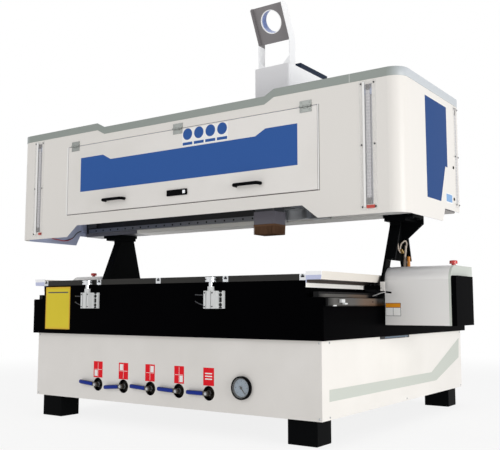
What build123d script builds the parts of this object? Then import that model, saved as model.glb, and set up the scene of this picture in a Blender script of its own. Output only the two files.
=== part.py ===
from build123d import *
import os

os.makedirs("parts", exist_ok=True)

# Gantry milling machine with a vacuum table. X runs across the machine, -Y is its front, +Z is up.
# The origin lies on the floor below the middle of the table.

# Shared values
overrun = 20.0  # how far a cut runs past the stock
gap = 0.3  # clearance between pieces that move past each other
fit = 0.05  # radial clearance of a running fit
sheet = 4.0  # folded steel sheet

# Feet
foot_w = 162.0
foot_d = 137.0
foot_h = 120.0
foot_inset_x = 37.0
foot_inset_y = 19.0

# Base
base_w = 1970.0
base_d = 1890.0
base_h = 368.0
base_tube = 60.0
base_z = foot_h
base_top = base_z + base_h
base_front = -base_d / 2

# Bed: a wide lower body with a narrower neck that leaves a ledge on each side
bed_overhang = 25.0
bed_lower_h = 202.0
bed_ledge_w = 92.0
bed_neck_h = 80.0
bed_w = base_w + 2 * bed_overhang
bed_neck_w = bed_w - 2 * bed_ledge_w
bed_d = base_d + 2 * bed_overhang
bed_front = -bed_d / 2
ledge_z = base_top + bed_lower_h
bed_top = ledge_z + bed_neck_h

# Table boards and T-slot rails
board_t = 30.0
table_top = bed_top + board_t
slot_rail_w = 34.0
slot_rails = 5
slot_mouth_w = 10.0
slot_foot_w = 20.0
slot_foot_h = 9.0
slot_lip_t = 8.0
groove_w = 7.0
groove_depth = 6.0
groove_columns = 3
groove_rows = 9
slot_pitch = (bed_neck_w - slot_rail_w) / (slot_rails - 1)
board_w = slot_pitch - slot_rail_w

# Rail covers: gutters of folded sheet along both sides of the table
cover_sheet = 3.0
cover_flange_h = 39.0
cover_floor_w = 80.0
cover_wall_h = 36.0
cover_flare = 6.0
cover_foot_z = ledge_z + 46.0

# Y guides on the ledges and racks on the bed's sides
y_rail_w = 28.0
y_rail_h = 26.0
y_rail_margin = 15.0
y_rail_x = (bed_w + bed_neck_w) / 4
y_block_w = 68.0
y_block_l = 120.0
y_block_lift = 8.0
y_block_h = 45.0
rack_w = 17.0
rack_h = 34.0
rack_drop = 3.0

# Vacuum valves in the front panel
valves = 5
valve_first_x = -468.0
valve_pitch = 199.0
valve_z = 208.0
valve_hole_r = 37.0
valve_ball_r = 26.0
valve_union_l = 45.0
valve_body_gap = 14.0
valve_bonnet_r = 14.0
valve_stem_r = 7.0
lever_l = 132.0
lever_w = 22.0
lever_t = 8.0
lever_hub_r = 13.0
lever_hub_l = 16.0
lever_offset = 6.0
lever_turns = (-4.5, 5.0, -3.0, -2.0, 0.0)  # degrees by which each lever stands off level

# Vacuum gauge
gauge_x = 538.0
gauge_z = 248.0
gauge_r = 57.0
gauge_depth = 18.0
gauge_rim = 7.0
gauge_recess = 9.0
gauge_glass_t = 3.0
needle_l = 40.0
needle_tail = 12.0
needle_w = 4.0
needle_t = 1.6
needle_hub_r = 6.0
needle_pin_r = 2.0
needle_lift = 2.0
needle_turn = -50.0  # degrees from level as the needle stands

# Locating cylinders on the bed's front
cylinder_shares = (-0.2525, 0.189)  # places as shares of the bed's width
cylinder_axis = 31.0  # the pin's axis to the bed's front
cylinder_w = 60.0
cylinder_d = 44.0
cylinder_h = 89.0
cylinder_top = 725.0
cylinder_groove_w = 8.0
cylinder_groove_depth = 6.0
cylinder_plate_w = 36.0
cylinder_plate_t = 14.0
cylinder_plate_hole_r = 5.0
cylinder_plate_holes = 4
neck_r = 17.0
neck_h = 22.0
rod_r = 11.0
rod_drop = 34.0  # how deep the rod stands in the body
rod_bore_l = 60.0
pin_head_r = 30.0
pin_head_h = 24.0
pin_shown = 23.0  # bare rod between neck and head as the pin stands
pin_groove_h = 6.0
pin_groove_depth = 5.0

# Rear vacuum port
port_r = 55.0
port_bore_r = 48.0
port_flange_r = 75.0
port_flange_t = 12.0
port_z = 300.0
louvre_w = 260.0
louvre_h = 12.0
louvre_pitch = 30.0
louvres = 6
louvre_x = 560.0

# Columns
column_reach = 6.0  # the web stands this far outside the bed
column_web_x = bed_w / 2 + column_reach
column_web_t = 14.0
column_flange_w = 62.0
column_rear_flange_w = 44.0
column_flange_t = 14.0
column_foot_t = 22.0
column_foot_front = -372.0
column_foot_rear = 5.0
column_knee_z = 1085.0
column_knee_front = -228.0
column_window_top = 898.0
column_window_leg = 62.0
column_window_sill = 30.0
cap_w = 172.0
cap_t = 18.0
cap_inset = 29.0  # how far the cap reaches inboard of the web
seat_w = 122.0
seat_t = 18.0
seat_step = 11.0
gusset_t = 12.0
gusset_h = 135.0
gusset_edge = 28.0

# Beam
beam_overhang = 321.0
beam_l = 2 * (column_web_x + beam_overhang)
beam_d = 158.0
beam_h = 387.0
beam_wall = 12.0
beam_front = -250.0
beam_z = 1143.0
beam_rear = beam_front + beam_d
beam_top = beam_z + beam_h
x_rail_w = 28.0
x_rail_h = 30.0
x_rail_margin = 57.0
x_rail_l = beam_l - 2 * x_rail_margin
x_rail_edge = 37.0  # rail centre to the beam's lower and upper edge
x_block_l = 110.0
x_block_w = 72.0
x_block_lift = 8.0
x_block_h = 52.0

# Hood
hood_side_gap = 19.0
hood_w = beam_l + 2 * hood_side_gap
hood_front = -820.0
hood_rear = -77.0
hood_corner_r = 75.0
hood_bottom = 1080.0
hood_notch_z = 1148.0
hood_notch_half = 812.0
hood_notch_foot_half = 900.0
hood_side_step = -330.0
hood_side_step_run = 34.0
hood_top = 1728.0
hood_dip = 31.0
hood_dip_half = 588.0
hood_dip_shoulder_half = 648.0
trim_h = 44.0
trim_proud = 2.0
hood_d = hood_rear - hood_front
hood_half = hood_w / 2
brace_w = 40.0
brace_h = 30.0
brace_drop = 42.0
brace_seat_w = 60.0

# Light strips in the hood
light_edge = 176.0
light_x = hood_half - light_edge
light_slot_w = 44.0
light_slot_bottom = 1125.0
light_slot_top = 1706.0
light_cover_w = 88.0
light_cover_t = 4.0
light_cover_bottom = 1098.0
light_cover_top = 1722.0
light_bar_w = 20.0
light_bar_d = 12.0
side_light_y = -108.0
side_slot_w = 22.0
side_cover_w = 56.0
side_light_bottom = 1172.0
side_slot_margin = 20.0

# Door
door_w = 1810.0
door_h = 432.0
door_z = 1218.0
door_d = 20.0
door_gap = 3.0
hinge_w = 68.0
hinge_leaf_h = 24.0
hinge_leaf_t = 3.0
hinge_knuckle_r = 5.0
hinge_pin_r = 3.0
hinge_knuckle_share = 0.3  # length of each hood knuckle as a share of the hinge
hinge_x = 838.0
hinge_lift = 1.0
handle_x = 486.0
handle_z = 1283.0
handle_l = 156.0
handle_reach = 34.0
handle_r = 9.0
handle_bend_r = 16.0
lock_w = 145.0
lock_h = 34.0
lock_t = 9.0
lock_z = 1283.0
lock_button_w = 19.0
lock_button_t = 5.0
lock_button_edge = 8.0
lock_pocket = 7.0

# Drive covers
drive_in_x = column_web_x + column_web_t
drive_l = 359.0
drive_out_x = drive_in_x + drive_l
drive_front = -337.0
drive_rear = -8.0
drive_z = 550.0
drive_top = 857.0
drive_r = 72.0
drive_cap_t = 27.0
drive_cap_drop = 55.0
drive_cap_r = 15.0
drive_cap_rear = -79.0
stop_edge = 45.0
stop_x = drive_out_x - stop_edge
stop_y = -162.0
stop_collar_r = 19.0
stop_collar_h = 5.0
stop_stem_r = 11.0
stop_head_r = 21.0
stop_head_h = 18.0
stop_lift = 8.0  # travel room under the button's head
stop_stem_drop = 10.0
motor_plate_t = 16.0
motor_plate_w = 150.0
motor_plate_h = 190.0
motor_plate_top = 790.0
gearbox_r = 55.0
gearbox_l = 90.0
motor_w = 86.0
motor_l = 130.0
motor_z = 660.0

# Cables in the right column
cable_r = 5.0
cable_bend_r = 26.0
hose_r = 9.0
cable_x_lift = 22.0
cable_back = 100.0
cable_pitch = 25.0
cable_loop_z = 950.0
cable_turn = 60.0
hose_h = 62.0
hose_pitch = 26.0

# Carriage and tower
spindle_x = 472.0
spindle_y = -595.0
carriage_w = 400.0
carriage_t = 18.0
carriage_bottom = 1145.0
carriage_shoulder = 1600.0
carriage_top = 1690.0
way_w = 30.0
way_h = 30.0
way_spread = 150.0
tower_w = 210.0
tower_front = -549.0
tower_rear = -110.0
tower_bottom = 1640.0
tower_h = 362.0
tower_top = tower_bottom + tower_h
tower_side = 26.0  # how far the box reaches past the bracket on the left
tower_sheet = 3.0
tower_edge_r = 12.0
lid_t = 32.0
lid_front = -425.0
bracket_rear = -484.0
bracket_post = 158.0
bracket_rise = 176.0
bracket_knee_z = tower_top + bracket_post
bracket_top = bracket_knee_z + bracket_rise
bracket_lean = 86.0
bracket_depth = 62.0
bracket_sheet = 4.0
bracket_corner = 14.0
bracket_setback = 24.0
bracket_plate_drop = 14.0
bracket_gusset = 42.0
ring_r = 68.0
ring_wall = 5.0
ring_l = 56.0
ring_place_share = 0.56  # height of the ring as a share of the leaning plate
z_motor_w = 86.0
z_motor_l = 150.0
z_motor_z = 1720.0
z_motor_shelf_t = 12.0

# Z slide, spindle and dust shoe
slide_t = 20.0
slide_w = 230.0
slide_bottom = 1200.0
slide_top = 1560.0
slide_rib_t = 16.0
slide_rib_w = 130.0
spindle_w = 120.0
spindle_d = 110.0
spindle_top = 1540.0
spindle_edge_r = 10.0
nose_r = 36.0
nose_h = 30.0
shoe_w = 136.0
shoe_d = 112.0
shoe_z = 1090.0
shoe_top = 1160.0
shoe_wall = 6.0
brush_h = 54.0
brush_t = 14.0
nut_r = 25.0
nut_h = 46.0
nut_bore_r = 6.0
nut_bore_l = 40.0
nut_neck_r = 14.0
nut_neck_l = 10.0
nut_shank_l = 20.0
nut_flat = 21.0


def save(piece, label):
    piece.part.label = label
    export_step(piece.part, f"parts/{label}.step")


def slab(x, y, z, mode=Mode.ADD):
    # A block between the pairs of faces x, y and z.
    spans = [sorted(pair) for pair in (x, y, z)]
    middle = tuple((low + high) / 2 for low, high in spans)
    with Locations(middle):
        Box(*(high - low for low, high in spans), mode=mode)


def span(middle, width):
    return (middle - width / 2, middle + width / 2)


def face_of(points, plane):
    # A flat face with straight edges, drawn on the plane.
    with BuildSketch(plane) as outline:
        with BuildLine():
            Polyline(*points, close=True)
        make_face()
    return outline.sketch


def disc(radius, plane):
    with BuildSketch(plane) as outline:
        Circle(radius)
    return outline.sketch


def turned(angle):
    # The X direction turned by the angle, as seen from the front.
    return Vector(1, 0, 0).rotate(Axis.Y, -angle)


sides = (("left", -1), ("right", 1))

# Feet: four blocks under the base's corners
foot_x = base_w / 2 - foot_inset_x - foot_w / 2
foot_y = base_d / 2 - foot_inset_y - foot_d / 2
with BuildPart() as feet:
    with GridLocations(2 * foot_x, 2 * foot_y, 2, 2):
        Box(foot_w, foot_d, foot_h, align=(Align.CENTER, Align.CENTER, Align.MIN))
save(feet, "feet")

# Base frame: square tube along the twelve edges of a box, clad by four panels
inner_w = base_w - 2 * sheet
inner_d = base_d - 2 * sheet
with BuildPart() as base_frame:
    slab((-inner_w / 2, inner_w / 2), (-inner_d / 2, inner_d / 2), (base_z, base_top))
    open_x = inner_w / 2 - base_tube
    open_y = inner_d / 2 - base_tube
    open_z = (base_z + base_tube, base_top - base_tube)
    slab((-open_x, open_x), (-inner_d, inner_d), open_z, Mode.SUBTRACT)
    slab((-inner_w, inner_w), (-open_y, open_y), open_z, Mode.SUBTRACT)
    slab((-open_x, open_x), (-open_y, open_y), (base_z - overrun, base_top + overrun), Mode.SUBTRACT)
save(base_frame, "base_frame")

valve_xs = [valve_first_x + valve_pitch * place for place in range(valves)]
with BuildPart() as front_panel:
    slab((-base_w / 2, base_w / 2), (base_front, base_front + sheet), (base_z, base_top))
    with BuildSketch(Plane.XZ.offset(-base_front + overrun)) as panel_holes:
        with Locations(*[(x, valve_z) for x in valve_xs]):
            Circle(valve_hole_r)
    extrude(panel_holes.sketch, amount=-(2 * overrun + sheet), mode=Mode.SUBTRACT)
save(front_panel, "front_panel")

# Side and rear panels: the rear one has two fields of air slots and a hole for the vacuum port
with BuildPart() as side_rear_panels:
    slab((-base_w / 2, base_w / 2), (-base_front - sheet, -base_front), (base_z, base_top))
    with BuildSketch(Plane.XZ.offset(base_front)) as rear_cuts:
        with Locations((-louvre_x, port_z), (louvre_x, port_z)):
            with GridLocations(0, louvre_pitch, 1, louvres):
                SlotOverall(louvre_w, louvre_h)
        with Locations((0, port_z)):
            Circle(port_r)
    extrude(rear_cuts.sketch, amount=sheet, mode=Mode.SUBTRACT)
    for name, sign in sides:
        slab((sign * inner_w / 2, sign * base_w / 2), (-inner_d / 2, inner_d / 2), (base_z, base_top))
save(side_rear_panels, "side_rear_panels")

# Vacuum port: a tube with a flange at each end
port_reach = -bed_front + cylinder_axis + pin_head_r
with BuildPart() as vacuum_port:
    port_foot = Plane((0, -base_front, port_z), x_dir=(1, 0, 0), z_dir=(0, 1, 0))
    port_l = port_reach + base_front
    extrude(disc(port_r, port_foot), amount=port_l)
    extrude(disc(port_flange_r, port_foot), amount=port_flange_t)
    extrude(disc(port_flange_r, port_foot.offset(port_l)), amount=-port_flange_t)
    extrude(disc(port_bore_r, port_foot), amount=port_l, mode=Mode.SUBTRACT)
save(vacuum_port, "vacuum_port")

# Bed body: one profile along the whole depth
with BuildPart() as bed_body:
    bed_outline = [
        (-bed_w / 2, base_top),
        (bed_w / 2, base_top),
        (bed_w / 2, ledge_z),
        (bed_neck_w / 2, ledge_z),
        (bed_neck_w / 2, bed_top),
        (-bed_neck_w / 2, bed_top),
        (-bed_neck_w / 2, ledge_z),
        (-bed_w / 2, ledge_z),
    ]
    extrude(face_of(bed_outline, Plane.XZ.offset(bed_front)), amount=bed_d)
save(bed_body, "bed_body")

# Vacuum boards with a grid of grooves, four side by side
with BuildPart() as vacuum_boards:
    with Locations((0, 0, bed_top)):
        with GridLocations(slot_pitch, bed_d, slot_rails - 1, 1):
            Box(board_w, bed_d, board_t, align=(Align.CENTER, Align.CENTER, Align.MIN))
    with Locations((0, 0, table_top)):
        with GridLocations(slot_pitch, bed_d, slot_rails - 1, 1):
            with GridLocations(board_w / (groove_columns + 1), 0, groove_columns, 1):
                Box(groove_w, bed_d - 2 * slot_rail_w, 2 * groove_depth, mode=Mode.SUBTRACT)
            with GridLocations(0, bed_d / (groove_rows + 1), 1, groove_rows):
                Box(board_w - 2 * slot_rail_w, groove_w, 2 * groove_depth, mode=Mode.SUBTRACT)
save(vacuum_boards, "vacuum_boards")

with BuildPart() as t_slot_rails:
    with BuildSketch(Plane.XZ.offset(bed_front)) as slot_section:
        with Locations((0, bed_top)):
            with GridLocations(slot_pitch, 0, slot_rails, 1):
                Rectangle(slot_rail_w, board_t, align=(Align.CENTER, Align.MIN))
        with Locations((0, table_top)):
            with GridLocations(slot_pitch, 0, slot_rails, 1):
                mouth_h = slot_lip_t + slot_foot_h
                Rectangle(slot_mouth_w, mouth_h, align=(Align.CENTER, Align.MAX), mode=Mode.SUBTRACT)
        with Locations((0, table_top - slot_lip_t)):
            with GridLocations(slot_pitch, 0, slot_rails, 1):
                Rectangle(slot_foot_w, slot_foot_h, align=(Align.CENTER, Align.MAX), mode=Mode.SUBTRACT)
    extrude(slot_section.sketch, amount=bed_d)
save(t_slot_rails, "t_slot_rails")

# Rail covers: flange on the bed's neck, floor outwards, wall flaring up, closed at the front
cover_floor_z = cover_foot_z + cover_flange_h
cover_in_x = bed_neck_w / 2
cover_out_x = cover_in_x + cover_floor_w
for name, sign in sides:
    gutter = [
        (sign * cover_in_x, cover_foot_z),
        (sign * (cover_in_x + cover_sheet), cover_foot_z),
        (sign * (cover_in_x + cover_sheet), cover_floor_z - cover_sheet),
        (sign * cover_out_x, cover_floor_z - cover_sheet),
        (sign * (cover_out_x + cover_flare), cover_floor_z + cover_wall_h),
        (sign * (cover_out_x + cover_flare - cover_sheet), cover_floor_z + cover_wall_h),
        (sign * (cover_out_x - cover_sheet), cover_floor_z),
        (sign * cover_in_x, cover_floor_z),
    ]
    end_plate = [
        (sign * cover_in_x, cover_floor_z - cover_sheet),
        (sign * cover_out_x, cover_floor_z - cover_sheet),
        (sign * (cover_out_x + cover_flare), cover_floor_z + cover_wall_h),
        (sign * cover_in_x, cover_floor_z + cover_wall_h),
    ]
    with BuildPart() as rail_cover:
        extrude(face_of(gutter, Plane.XZ.offset(bed_front)), amount=bed_d)
        extrude(face_of(end_plate, Plane.XZ.offset(-bed_front)), amount=-cover_sheet)
    save(rail_cover, f"rail_cover_{name}")

# Y guide rails on the ledges, racks on the bed's sides
y_rail_l = bed_d - 2 * y_rail_margin
with BuildPart() as y_rails:
    for name, sign in sides:
        rail_x = (sign * y_rail_x - y_rail_w / 2, sign * y_rail_x + y_rail_w / 2)
        slab(rail_x, (-y_rail_l / 2, y_rail_l / 2), (ledge_z, ledge_z + y_rail_h))
save(y_rails, "y_rails")

rack_top = ledge_z - rack_drop
with BuildPart() as y_racks:
    for name, sign in sides:
        rack_x = (sign * bed_w / 2, sign * (bed_w / 2 + rack_w))
        slab(rack_x, (-y_rail_l / 2, y_rail_l / 2), (rack_top - rack_h, rack_top))
save(y_racks, "y_racks")

# Gauge: a round case with a recessed dial, a needle on a pin and a glass in the rim
gauge_plane = Plane.XZ.offset(-base_front)
gauge_at = Plane(gauge_plane.origin + Vector(gauge_x, 0, gauge_z), gauge_plane.x_dir, gauge_plane.z_dir)
gauge_mouth = gauge_at.offset(gauge_depth)
dial_at = gauge_at.offset(gauge_depth - gauge_recess)
with BuildPart() as gauge_case:
    extrude(disc(gauge_r, gauge_at), amount=gauge_depth)
    extrude(disc(gauge_r - gauge_rim, dial_at), amount=gauge_recess, mode=Mode.SUBTRACT)
    extrude(disc(needle_pin_r, dial_at), amount=needle_lift + needle_t)
save(gauge_case, "gauge_case")

with BuildPart() as gauge_glass:
    extrude(disc(gauge_r - gauge_rim, gauge_mouth), amount=-gauge_glass_t)
save(gauge_glass, "gauge_glass")

with BuildPart() as gauge_needle:
    needle_at = Plane(dial_at.offset(needle_lift).origin, x_dir=turned(needle_turn), z_dir=dial_at.z_dir)
    with BuildSketch(needle_at) as needle_shape:
        with BuildLine():
            Polyline((-needle_tail, -needle_w / 2), (needle_l, 0), (-needle_tail, needle_w / 2), close=True)
        make_face()
        Circle(needle_hub_r)
        Circle(needle_pin_r + fit, mode=Mode.SUBTRACT)
    extrude(needle_shape.sketch, amount=needle_t)
save(gauge_needle, "gauge_needle")

# Valves: bodies behind the panel's holes, stems to the front, levers on the stems
valve_back = base_front + sheet + valve_body_gap
stem_tip = base_front - lever_offset - lever_hub_l
with BuildPart() as valve_bodies:
    for x in valve_xs:
        stand = Plane((x, valve_back, valve_z), x_dir=(1, 0, 0), z_dir=(0, -1, 0))
        extrude(disc(valve_ball_r, stand), amount=-2 * valve_ball_r)
        extrude(disc(valve_bonnet_r, stand), amount=valve_body_gap)
        extrude(disc(valve_stem_r, stand), amount=valve_back - stem_tip)
        riser = Plane((x, valve_back + valve_ball_r, valve_z))
        extrude(disc(valve_ball_r - valve_stem_r, riser), amount=valve_union_l)
        extrude(disc(valve_bonnet_r, riser), amount=base_top - base_tube - valve_z)
save(valve_bodies, "valve_bodies")

for place, x in enumerate(valve_xs):
    stand = Plane((x, base_front - lever_offset, valve_z), x_dir=turned(lever_turns[place]), z_dir=(0, -1, 0))
    with BuildPart() as valve_lever:
        extrude(disc(lever_hub_r, stand), amount=lever_hub_l)
        with BuildSketch(stand.offset((lever_hub_l - lever_t) / 2)) as blade:
            with Locations((-lever_l / 2, 0)):
                SlotOverall(lever_l, lever_w)
        extrude(blade.sketch, amount=lever_t)
        extrude(disc(valve_stem_r + fit, stand), amount=lever_hub_l, mode=Mode.SUBTRACT)
    save(valve_lever, f"valve_lever_{place + 1}")

# Locating cylinders: grooved body on a mounting plate with holes, neck; the pin slides in them
cylinder_y = bed_front - cylinder_axis
cylinder_front = cylinder_y - cylinder_d / 2
cylinder_z = (cylinder_top - cylinder_h, cylinder_top)
cylinder_xs = [share * bed_w for share in cylinder_shares]
with BuildPart() as locating_cylinders:
    for x in cylinder_xs:
        body_x = (x - cylinder_w / 2, x + cylinder_w / 2)
        slab(body_x, (cylinder_front, cylinder_front + cylinder_d), cylinder_z)
        for groove_x in (x - cylinder_w / 4, x + cylinder_w / 4):
            with Locations((groove_x, cylinder_front, cylinder_top)):
                Box(cylinder_groove_w, 2 * cylinder_groove_depth, 2 * cylinder_h, mode=Mode.SUBTRACT)
        ear = (body_x[1], body_x[1] + cylinder_plate_w)
        slab((body_x[0], ear[1]), (bed_front - cylinder_plate_t, bed_front), cylinder_z)
        with BuildSketch(Plane.XZ.offset(-bed_front + cylinder_plate_t)) as ear_holes:
            with Locations((sum(ear) / 2, cylinder_top - cylinder_h / 2)):
                with GridLocations(0, cylinder_h / (cylinder_plate_holes + 1), 1, cylinder_plate_holes):
                    Circle(cylinder_plate_hole_r)
        extrude(ear_holes.sketch, amount=-cylinder_plate_t, mode=Mode.SUBTRACT)
        neck = Plane((x, cylinder_y, cylinder_top))
        extrude(disc(neck_r, neck), amount=neck_h)
        extrude(disc(rod_r + fit, neck.offset(neck_h)), amount=-neck_h - rod_bore_l, mode=Mode.SUBTRACT)
save(locating_cylinders, "locating_cylinders")

for (name, sign), x in zip(sides, cylinder_xs):
    with BuildPart() as pin:
        head = Plane((x, cylinder_y, cylinder_top + neck_h + pin_shown))
        extrude(disc(pin_head_r, head), amount=pin_head_h)
        with BuildSketch(head.offset((pin_head_h - pin_groove_h) / 2)) as head_groove:
            Circle(pin_head_r)
            Circle(pin_head_r - pin_groove_depth, mode=Mode.SUBTRACT)
        extrude(head_groove.sketch, amount=pin_groove_h, mode=Mode.SUBTRACT)
        extrude(disc(rod_r, head), amount=-pin_shown - neck_h - rod_drop)
    save(pin, f"locating_pin_{name}")

# Columns: a sloping web, open above the right foot, with front and rear flanges,
# a foot on the bearing blocks and a cap under the beam
foot_z = ledge_z + y_block_h
foot_top = foot_z + column_foot_t
cap_z = beam_z - cap_t
seat_z = cap_z - seat_t
web_rise = seat_z - foot_top
rear_lean = column_foot_rear - beam_rear
knee_rise = column_knee_z - foot_top
front_lean = column_knee_front - column_foot_front


def front_edge(z):
    return min(column_foot_front + front_lean * (z - foot_top) / knee_rise, column_knee_front)


def rear_edge(z):
    return column_foot_rear - rear_lean * (z - foot_top) / web_rise


for name, sign in sides:
    web_in = sign * column_web_x
    web_plane = Plane.YZ.offset(web_in)
    web_outline = [
        (column_foot_front, foot_top),
        (column_foot_rear, foot_top),
        (beam_rear, seat_z),
        (column_knee_front, seat_z),
        (column_knee_front, column_knee_z),
    ]
    window_foot = foot_top + column_window_sill
    window = [
        (front_edge(window_foot) + column_window_leg, window_foot),
        (rear_edge(window_foot) - column_window_leg, window_foot),
        (rear_edge(column_window_top) - column_window_leg, column_window_top),
        (front_edge(column_window_top) + column_window_leg, column_window_top),
    ]
    flange_foot = column_window_top if sign > 0 else foot_top
    front_flange = [
        (front_edge(flange_foot), flange_foot),
        (front_edge(flange_foot) + column_flange_t, flange_foot),
        (column_knee_front + column_flange_t, column_knee_z),
        (column_knee_front + column_flange_t, seat_z),
        (column_knee_front, seat_z),
        (column_knee_front, column_knee_z),
    ]
    rear_flange = [
        (rear_edge(column_window_top) - column_flange_t, column_window_top),
        (rear_edge(column_window_top), column_window_top),
        (beam_rear, seat_z),
        (beam_rear - column_flange_t, seat_z),
    ]
    with BuildPart() as column:
        extrude(face_of(web_outline, web_plane), amount=sign * column_web_t)
        if sign > 0:
            extrude(face_of(window, web_plane), amount=sign * column_web_t, mode=Mode.SUBTRACT)
        extrude(face_of(front_flange, web_plane), amount=sign * column_flange_w)
        extrude(face_of(rear_flange, web_plane), amount=sign * column_rear_flange_w)
        foot_in = sign * (y_rail_x - y_block_w / 2)
        foot_out = web_in + sign * column_web_t
        slab((foot_in, foot_out), (column_foot_front, column_foot_rear), (foot_z, foot_top))
        cap_in = web_in - sign * cap_inset
        seat_in = cap_in + sign * (cap_w - seat_w) / 4
        slab((seat_in, seat_in + sign * seat_w), (beam_front - seat_step, beam_rear), (seat_z, cap_z))
        slab((cap_in, cap_in + sign * cap_w), (beam_front, beam_rear), (cap_z, beam_z))
        cap_out = cap_in + sign * cap_w
        rib = [
            (web_in, cap_z - gusset_h),
            (web_in + sign * column_web_t, cap_z - gusset_h),
            (cap_out, cap_z - gusset_edge),
            (cap_out, cap_z),
            (web_in, cap_z),
        ]
        extrude(face_of(rib, Plane.XZ.offset(-beam_rear)), amount=gusset_t)
    save(column, f"column_{name}")

# Bearing blocks that carry the columns on the Y rails
block_ys = (column_foot_front + y_block_l / 2, column_foot_rear - y_block_l / 2)
with BuildPart() as y_blocks:
    for name, sign in sides:
        for y in block_ys:
            block_x = (sign * y_rail_x - y_block_w / 2, sign * y_rail_x + y_block_w / 2)
            block_y = (y - y_block_l / 2, y + y_block_l / 2)
            slab(block_x, block_y, (ledge_z + y_block_lift, foot_z))
            throat_x = (sign * y_rail_x - y_rail_w / 2 - gap, sign * y_rail_x + y_rail_w / 2 + gap)
            slab(throat_x, block_y, (ledge_z, ledge_z + y_rail_h + gap), Mode.SUBTRACT)
save(y_blocks, "y_blocks")

# Beam: a box section with closed ends
with BuildPart() as beam:
    slab((-beam_l / 2, beam_l / 2), (beam_front, beam_rear), (beam_z, beam_top))
    slab((-beam_l / 2 + beam_wall, beam_l / 2 - beam_wall), (beam_front + beam_wall, beam_rear - beam_wall),
         (beam_z + beam_wall, beam_top - beam_wall), Mode.SUBTRACT)
save(beam, "beam")

x_rail_zs = (beam_z + x_rail_edge, beam_top - x_rail_edge)
with BuildPart() as x_rails:
    for z in x_rail_zs:
        slab(span(0, x_rail_l), (beam_front - x_rail_h, beam_front), span(z, x_rail_w))
save(x_rails, "x_rails")

# Hood: a sheet rolled round both front corners, with stepped edges, a door opening and light slots


def tongue(reach, rear, z):
    # A flat face with straight sides and two rounded front corners, grown by the reach.
    with BuildSketch(Plane.XY.offset(z)) as outline:
        with Locations((0, rear)):
            Rectangle(hood_w + 2 * reach, rear - hood_front + reach, align=(Align.CENTER, Align.MAX))
        fillet(outline.vertices().group_by(Axis.Y)[0], hood_corner_r + reach)
    return outline.sketch


trim_top = hood_top + trim_h
door_top = door_z + door_h
hood_outline = [
    (-hood_half, hood_bottom),
    (-hood_notch_foot_half, hood_bottom),
    (-hood_notch_half, hood_notch_z),
    (hood_notch_half, hood_notch_z),
    (hood_notch_foot_half, hood_bottom),
    (hood_half, hood_bottom),
    (hood_half, hood_top),
    (hood_dip_shoulder_half, hood_top),
    (hood_dip_half, hood_top - hood_dip),
    (-hood_dip_half, hood_top - hood_dip),
    (-hood_dip_shoulder_half, hood_top),
    (-hood_half, hood_top),
]
side_step = [
    (hood_side_step, hood_bottom),
    (hood_side_step + hood_side_step_run, hood_notch_z),
    (hood_rear, hood_notch_z),
    (hood_rear, hood_bottom),
]
with BuildPart() as hood_shell:
    extrude(tongue(0, hood_rear, hood_bottom), amount=hood_top - hood_bottom)
    extrude(tongue(-sheet, hood_rear + overrun, hood_bottom), amount=hood_top - hood_bottom, mode=Mode.SUBTRACT)
    extrude(face_of(hood_outline, Plane.XZ.offset(-hood_rear)), amount=hood_d, mode=Mode.INTERSECT)
    extrude(face_of(side_step, Plane.YZ.offset(-hood_half)), amount=hood_w, mode=Mode.SUBTRACT)
    slab(span(0, door_w), span(hood_front, 2 * overrun), (door_z, door_top), Mode.SUBTRACT)
    for name, sign in sides:
        slot = (sign * light_x - light_slot_w / 2, sign * light_x + light_slot_w / 2)
        slab(slot, span(hood_front, 2 * overrun), (light_slot_bottom, light_slot_top), Mode.SUBTRACT)
        side_slot = (side_light_y - side_slot_w / 2, side_light_y + side_slot_w / 2)
        slab((sign * hood_half - overrun, sign * hood_half + overrun), side_slot,
             (side_light_bottom + side_slot_margin, light_slot_top), Mode.SUBTRACT)
save(hood_shell, "hood_shell")

trim_outline = [
    (-hood_half - trim_proud, hood_top),
    (-hood_dip_shoulder_half, hood_top),
    (-hood_dip_half, hood_top - hood_dip),
    (hood_dip_half, hood_top - hood_dip),
    (hood_dip_shoulder_half, hood_top),
    (hood_half + trim_proud, hood_top),
    (hood_half + trim_proud, trim_top),
    (hood_dip_shoulder_half, trim_top),
    (hood_dip_half, trim_top - hood_dip),
    (-hood_dip_half, trim_top - hood_dip),
    (-hood_dip_shoulder_half, trim_top),
    (-hood_half - trim_proud, trim_top),
]
with BuildPart() as hood_trim:
    extrude(tongue(trim_proud, hood_rear, hood_top - hood_dip), amount=trim_h + hood_dip)
    hollow = tongue(-sheet, hood_rear + overrun, hood_top - hood_dip)
    extrude(hollow, amount=trim_h + hood_dip, mode=Mode.SUBTRACT)
    extrude(face_of(trim_outline, Plane.XZ.offset(-hood_rear)), amount=hood_d + trim_proud, mode=Mode.INTERSECT)
save(hood_trim, "hood_trim")

# Hood frame: a bar behind the front sheet and two arms back to seats on the beam's ends
brace_top = hood_top - brace_drop
brace_z = (brace_top - brace_h, brace_top)
inside_x = hood_half - sheet
inside_y = hood_front + sheet
seat_x = beam_l / 2
with BuildPart() as hood_frame:
    slab((-inside_x + hood_corner_r, inside_x - hood_corner_r), (inside_y, inside_y + brace_w), brace_z)
    for name, sign in sides:
        arm_x = (sign * (inside_x - hood_corner_r - brace_w), sign * (inside_x - hood_corner_r))
        slab(arm_x, (inside_y, beam_front), brace_z)
        brace_x = (sign * (inside_x - hood_corner_r - brace_w), sign * inside_x)
        slab(brace_x, (beam_front - brace_w, beam_front), brace_z)
        slab((sign * seat_x, sign * inside_x), (beam_front - brace_w, beam_front + brace_seat_w),
             (beam_z + brace_drop, brace_top))
        bar_room = light_bar_w / 2 + gap
        slab(span(sign * light_x, 2 * bar_room), (hood_front, hood_front + light_bar_d + gap),
             brace_z, Mode.SUBTRACT)
save(hood_frame, "hood_frame")

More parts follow.
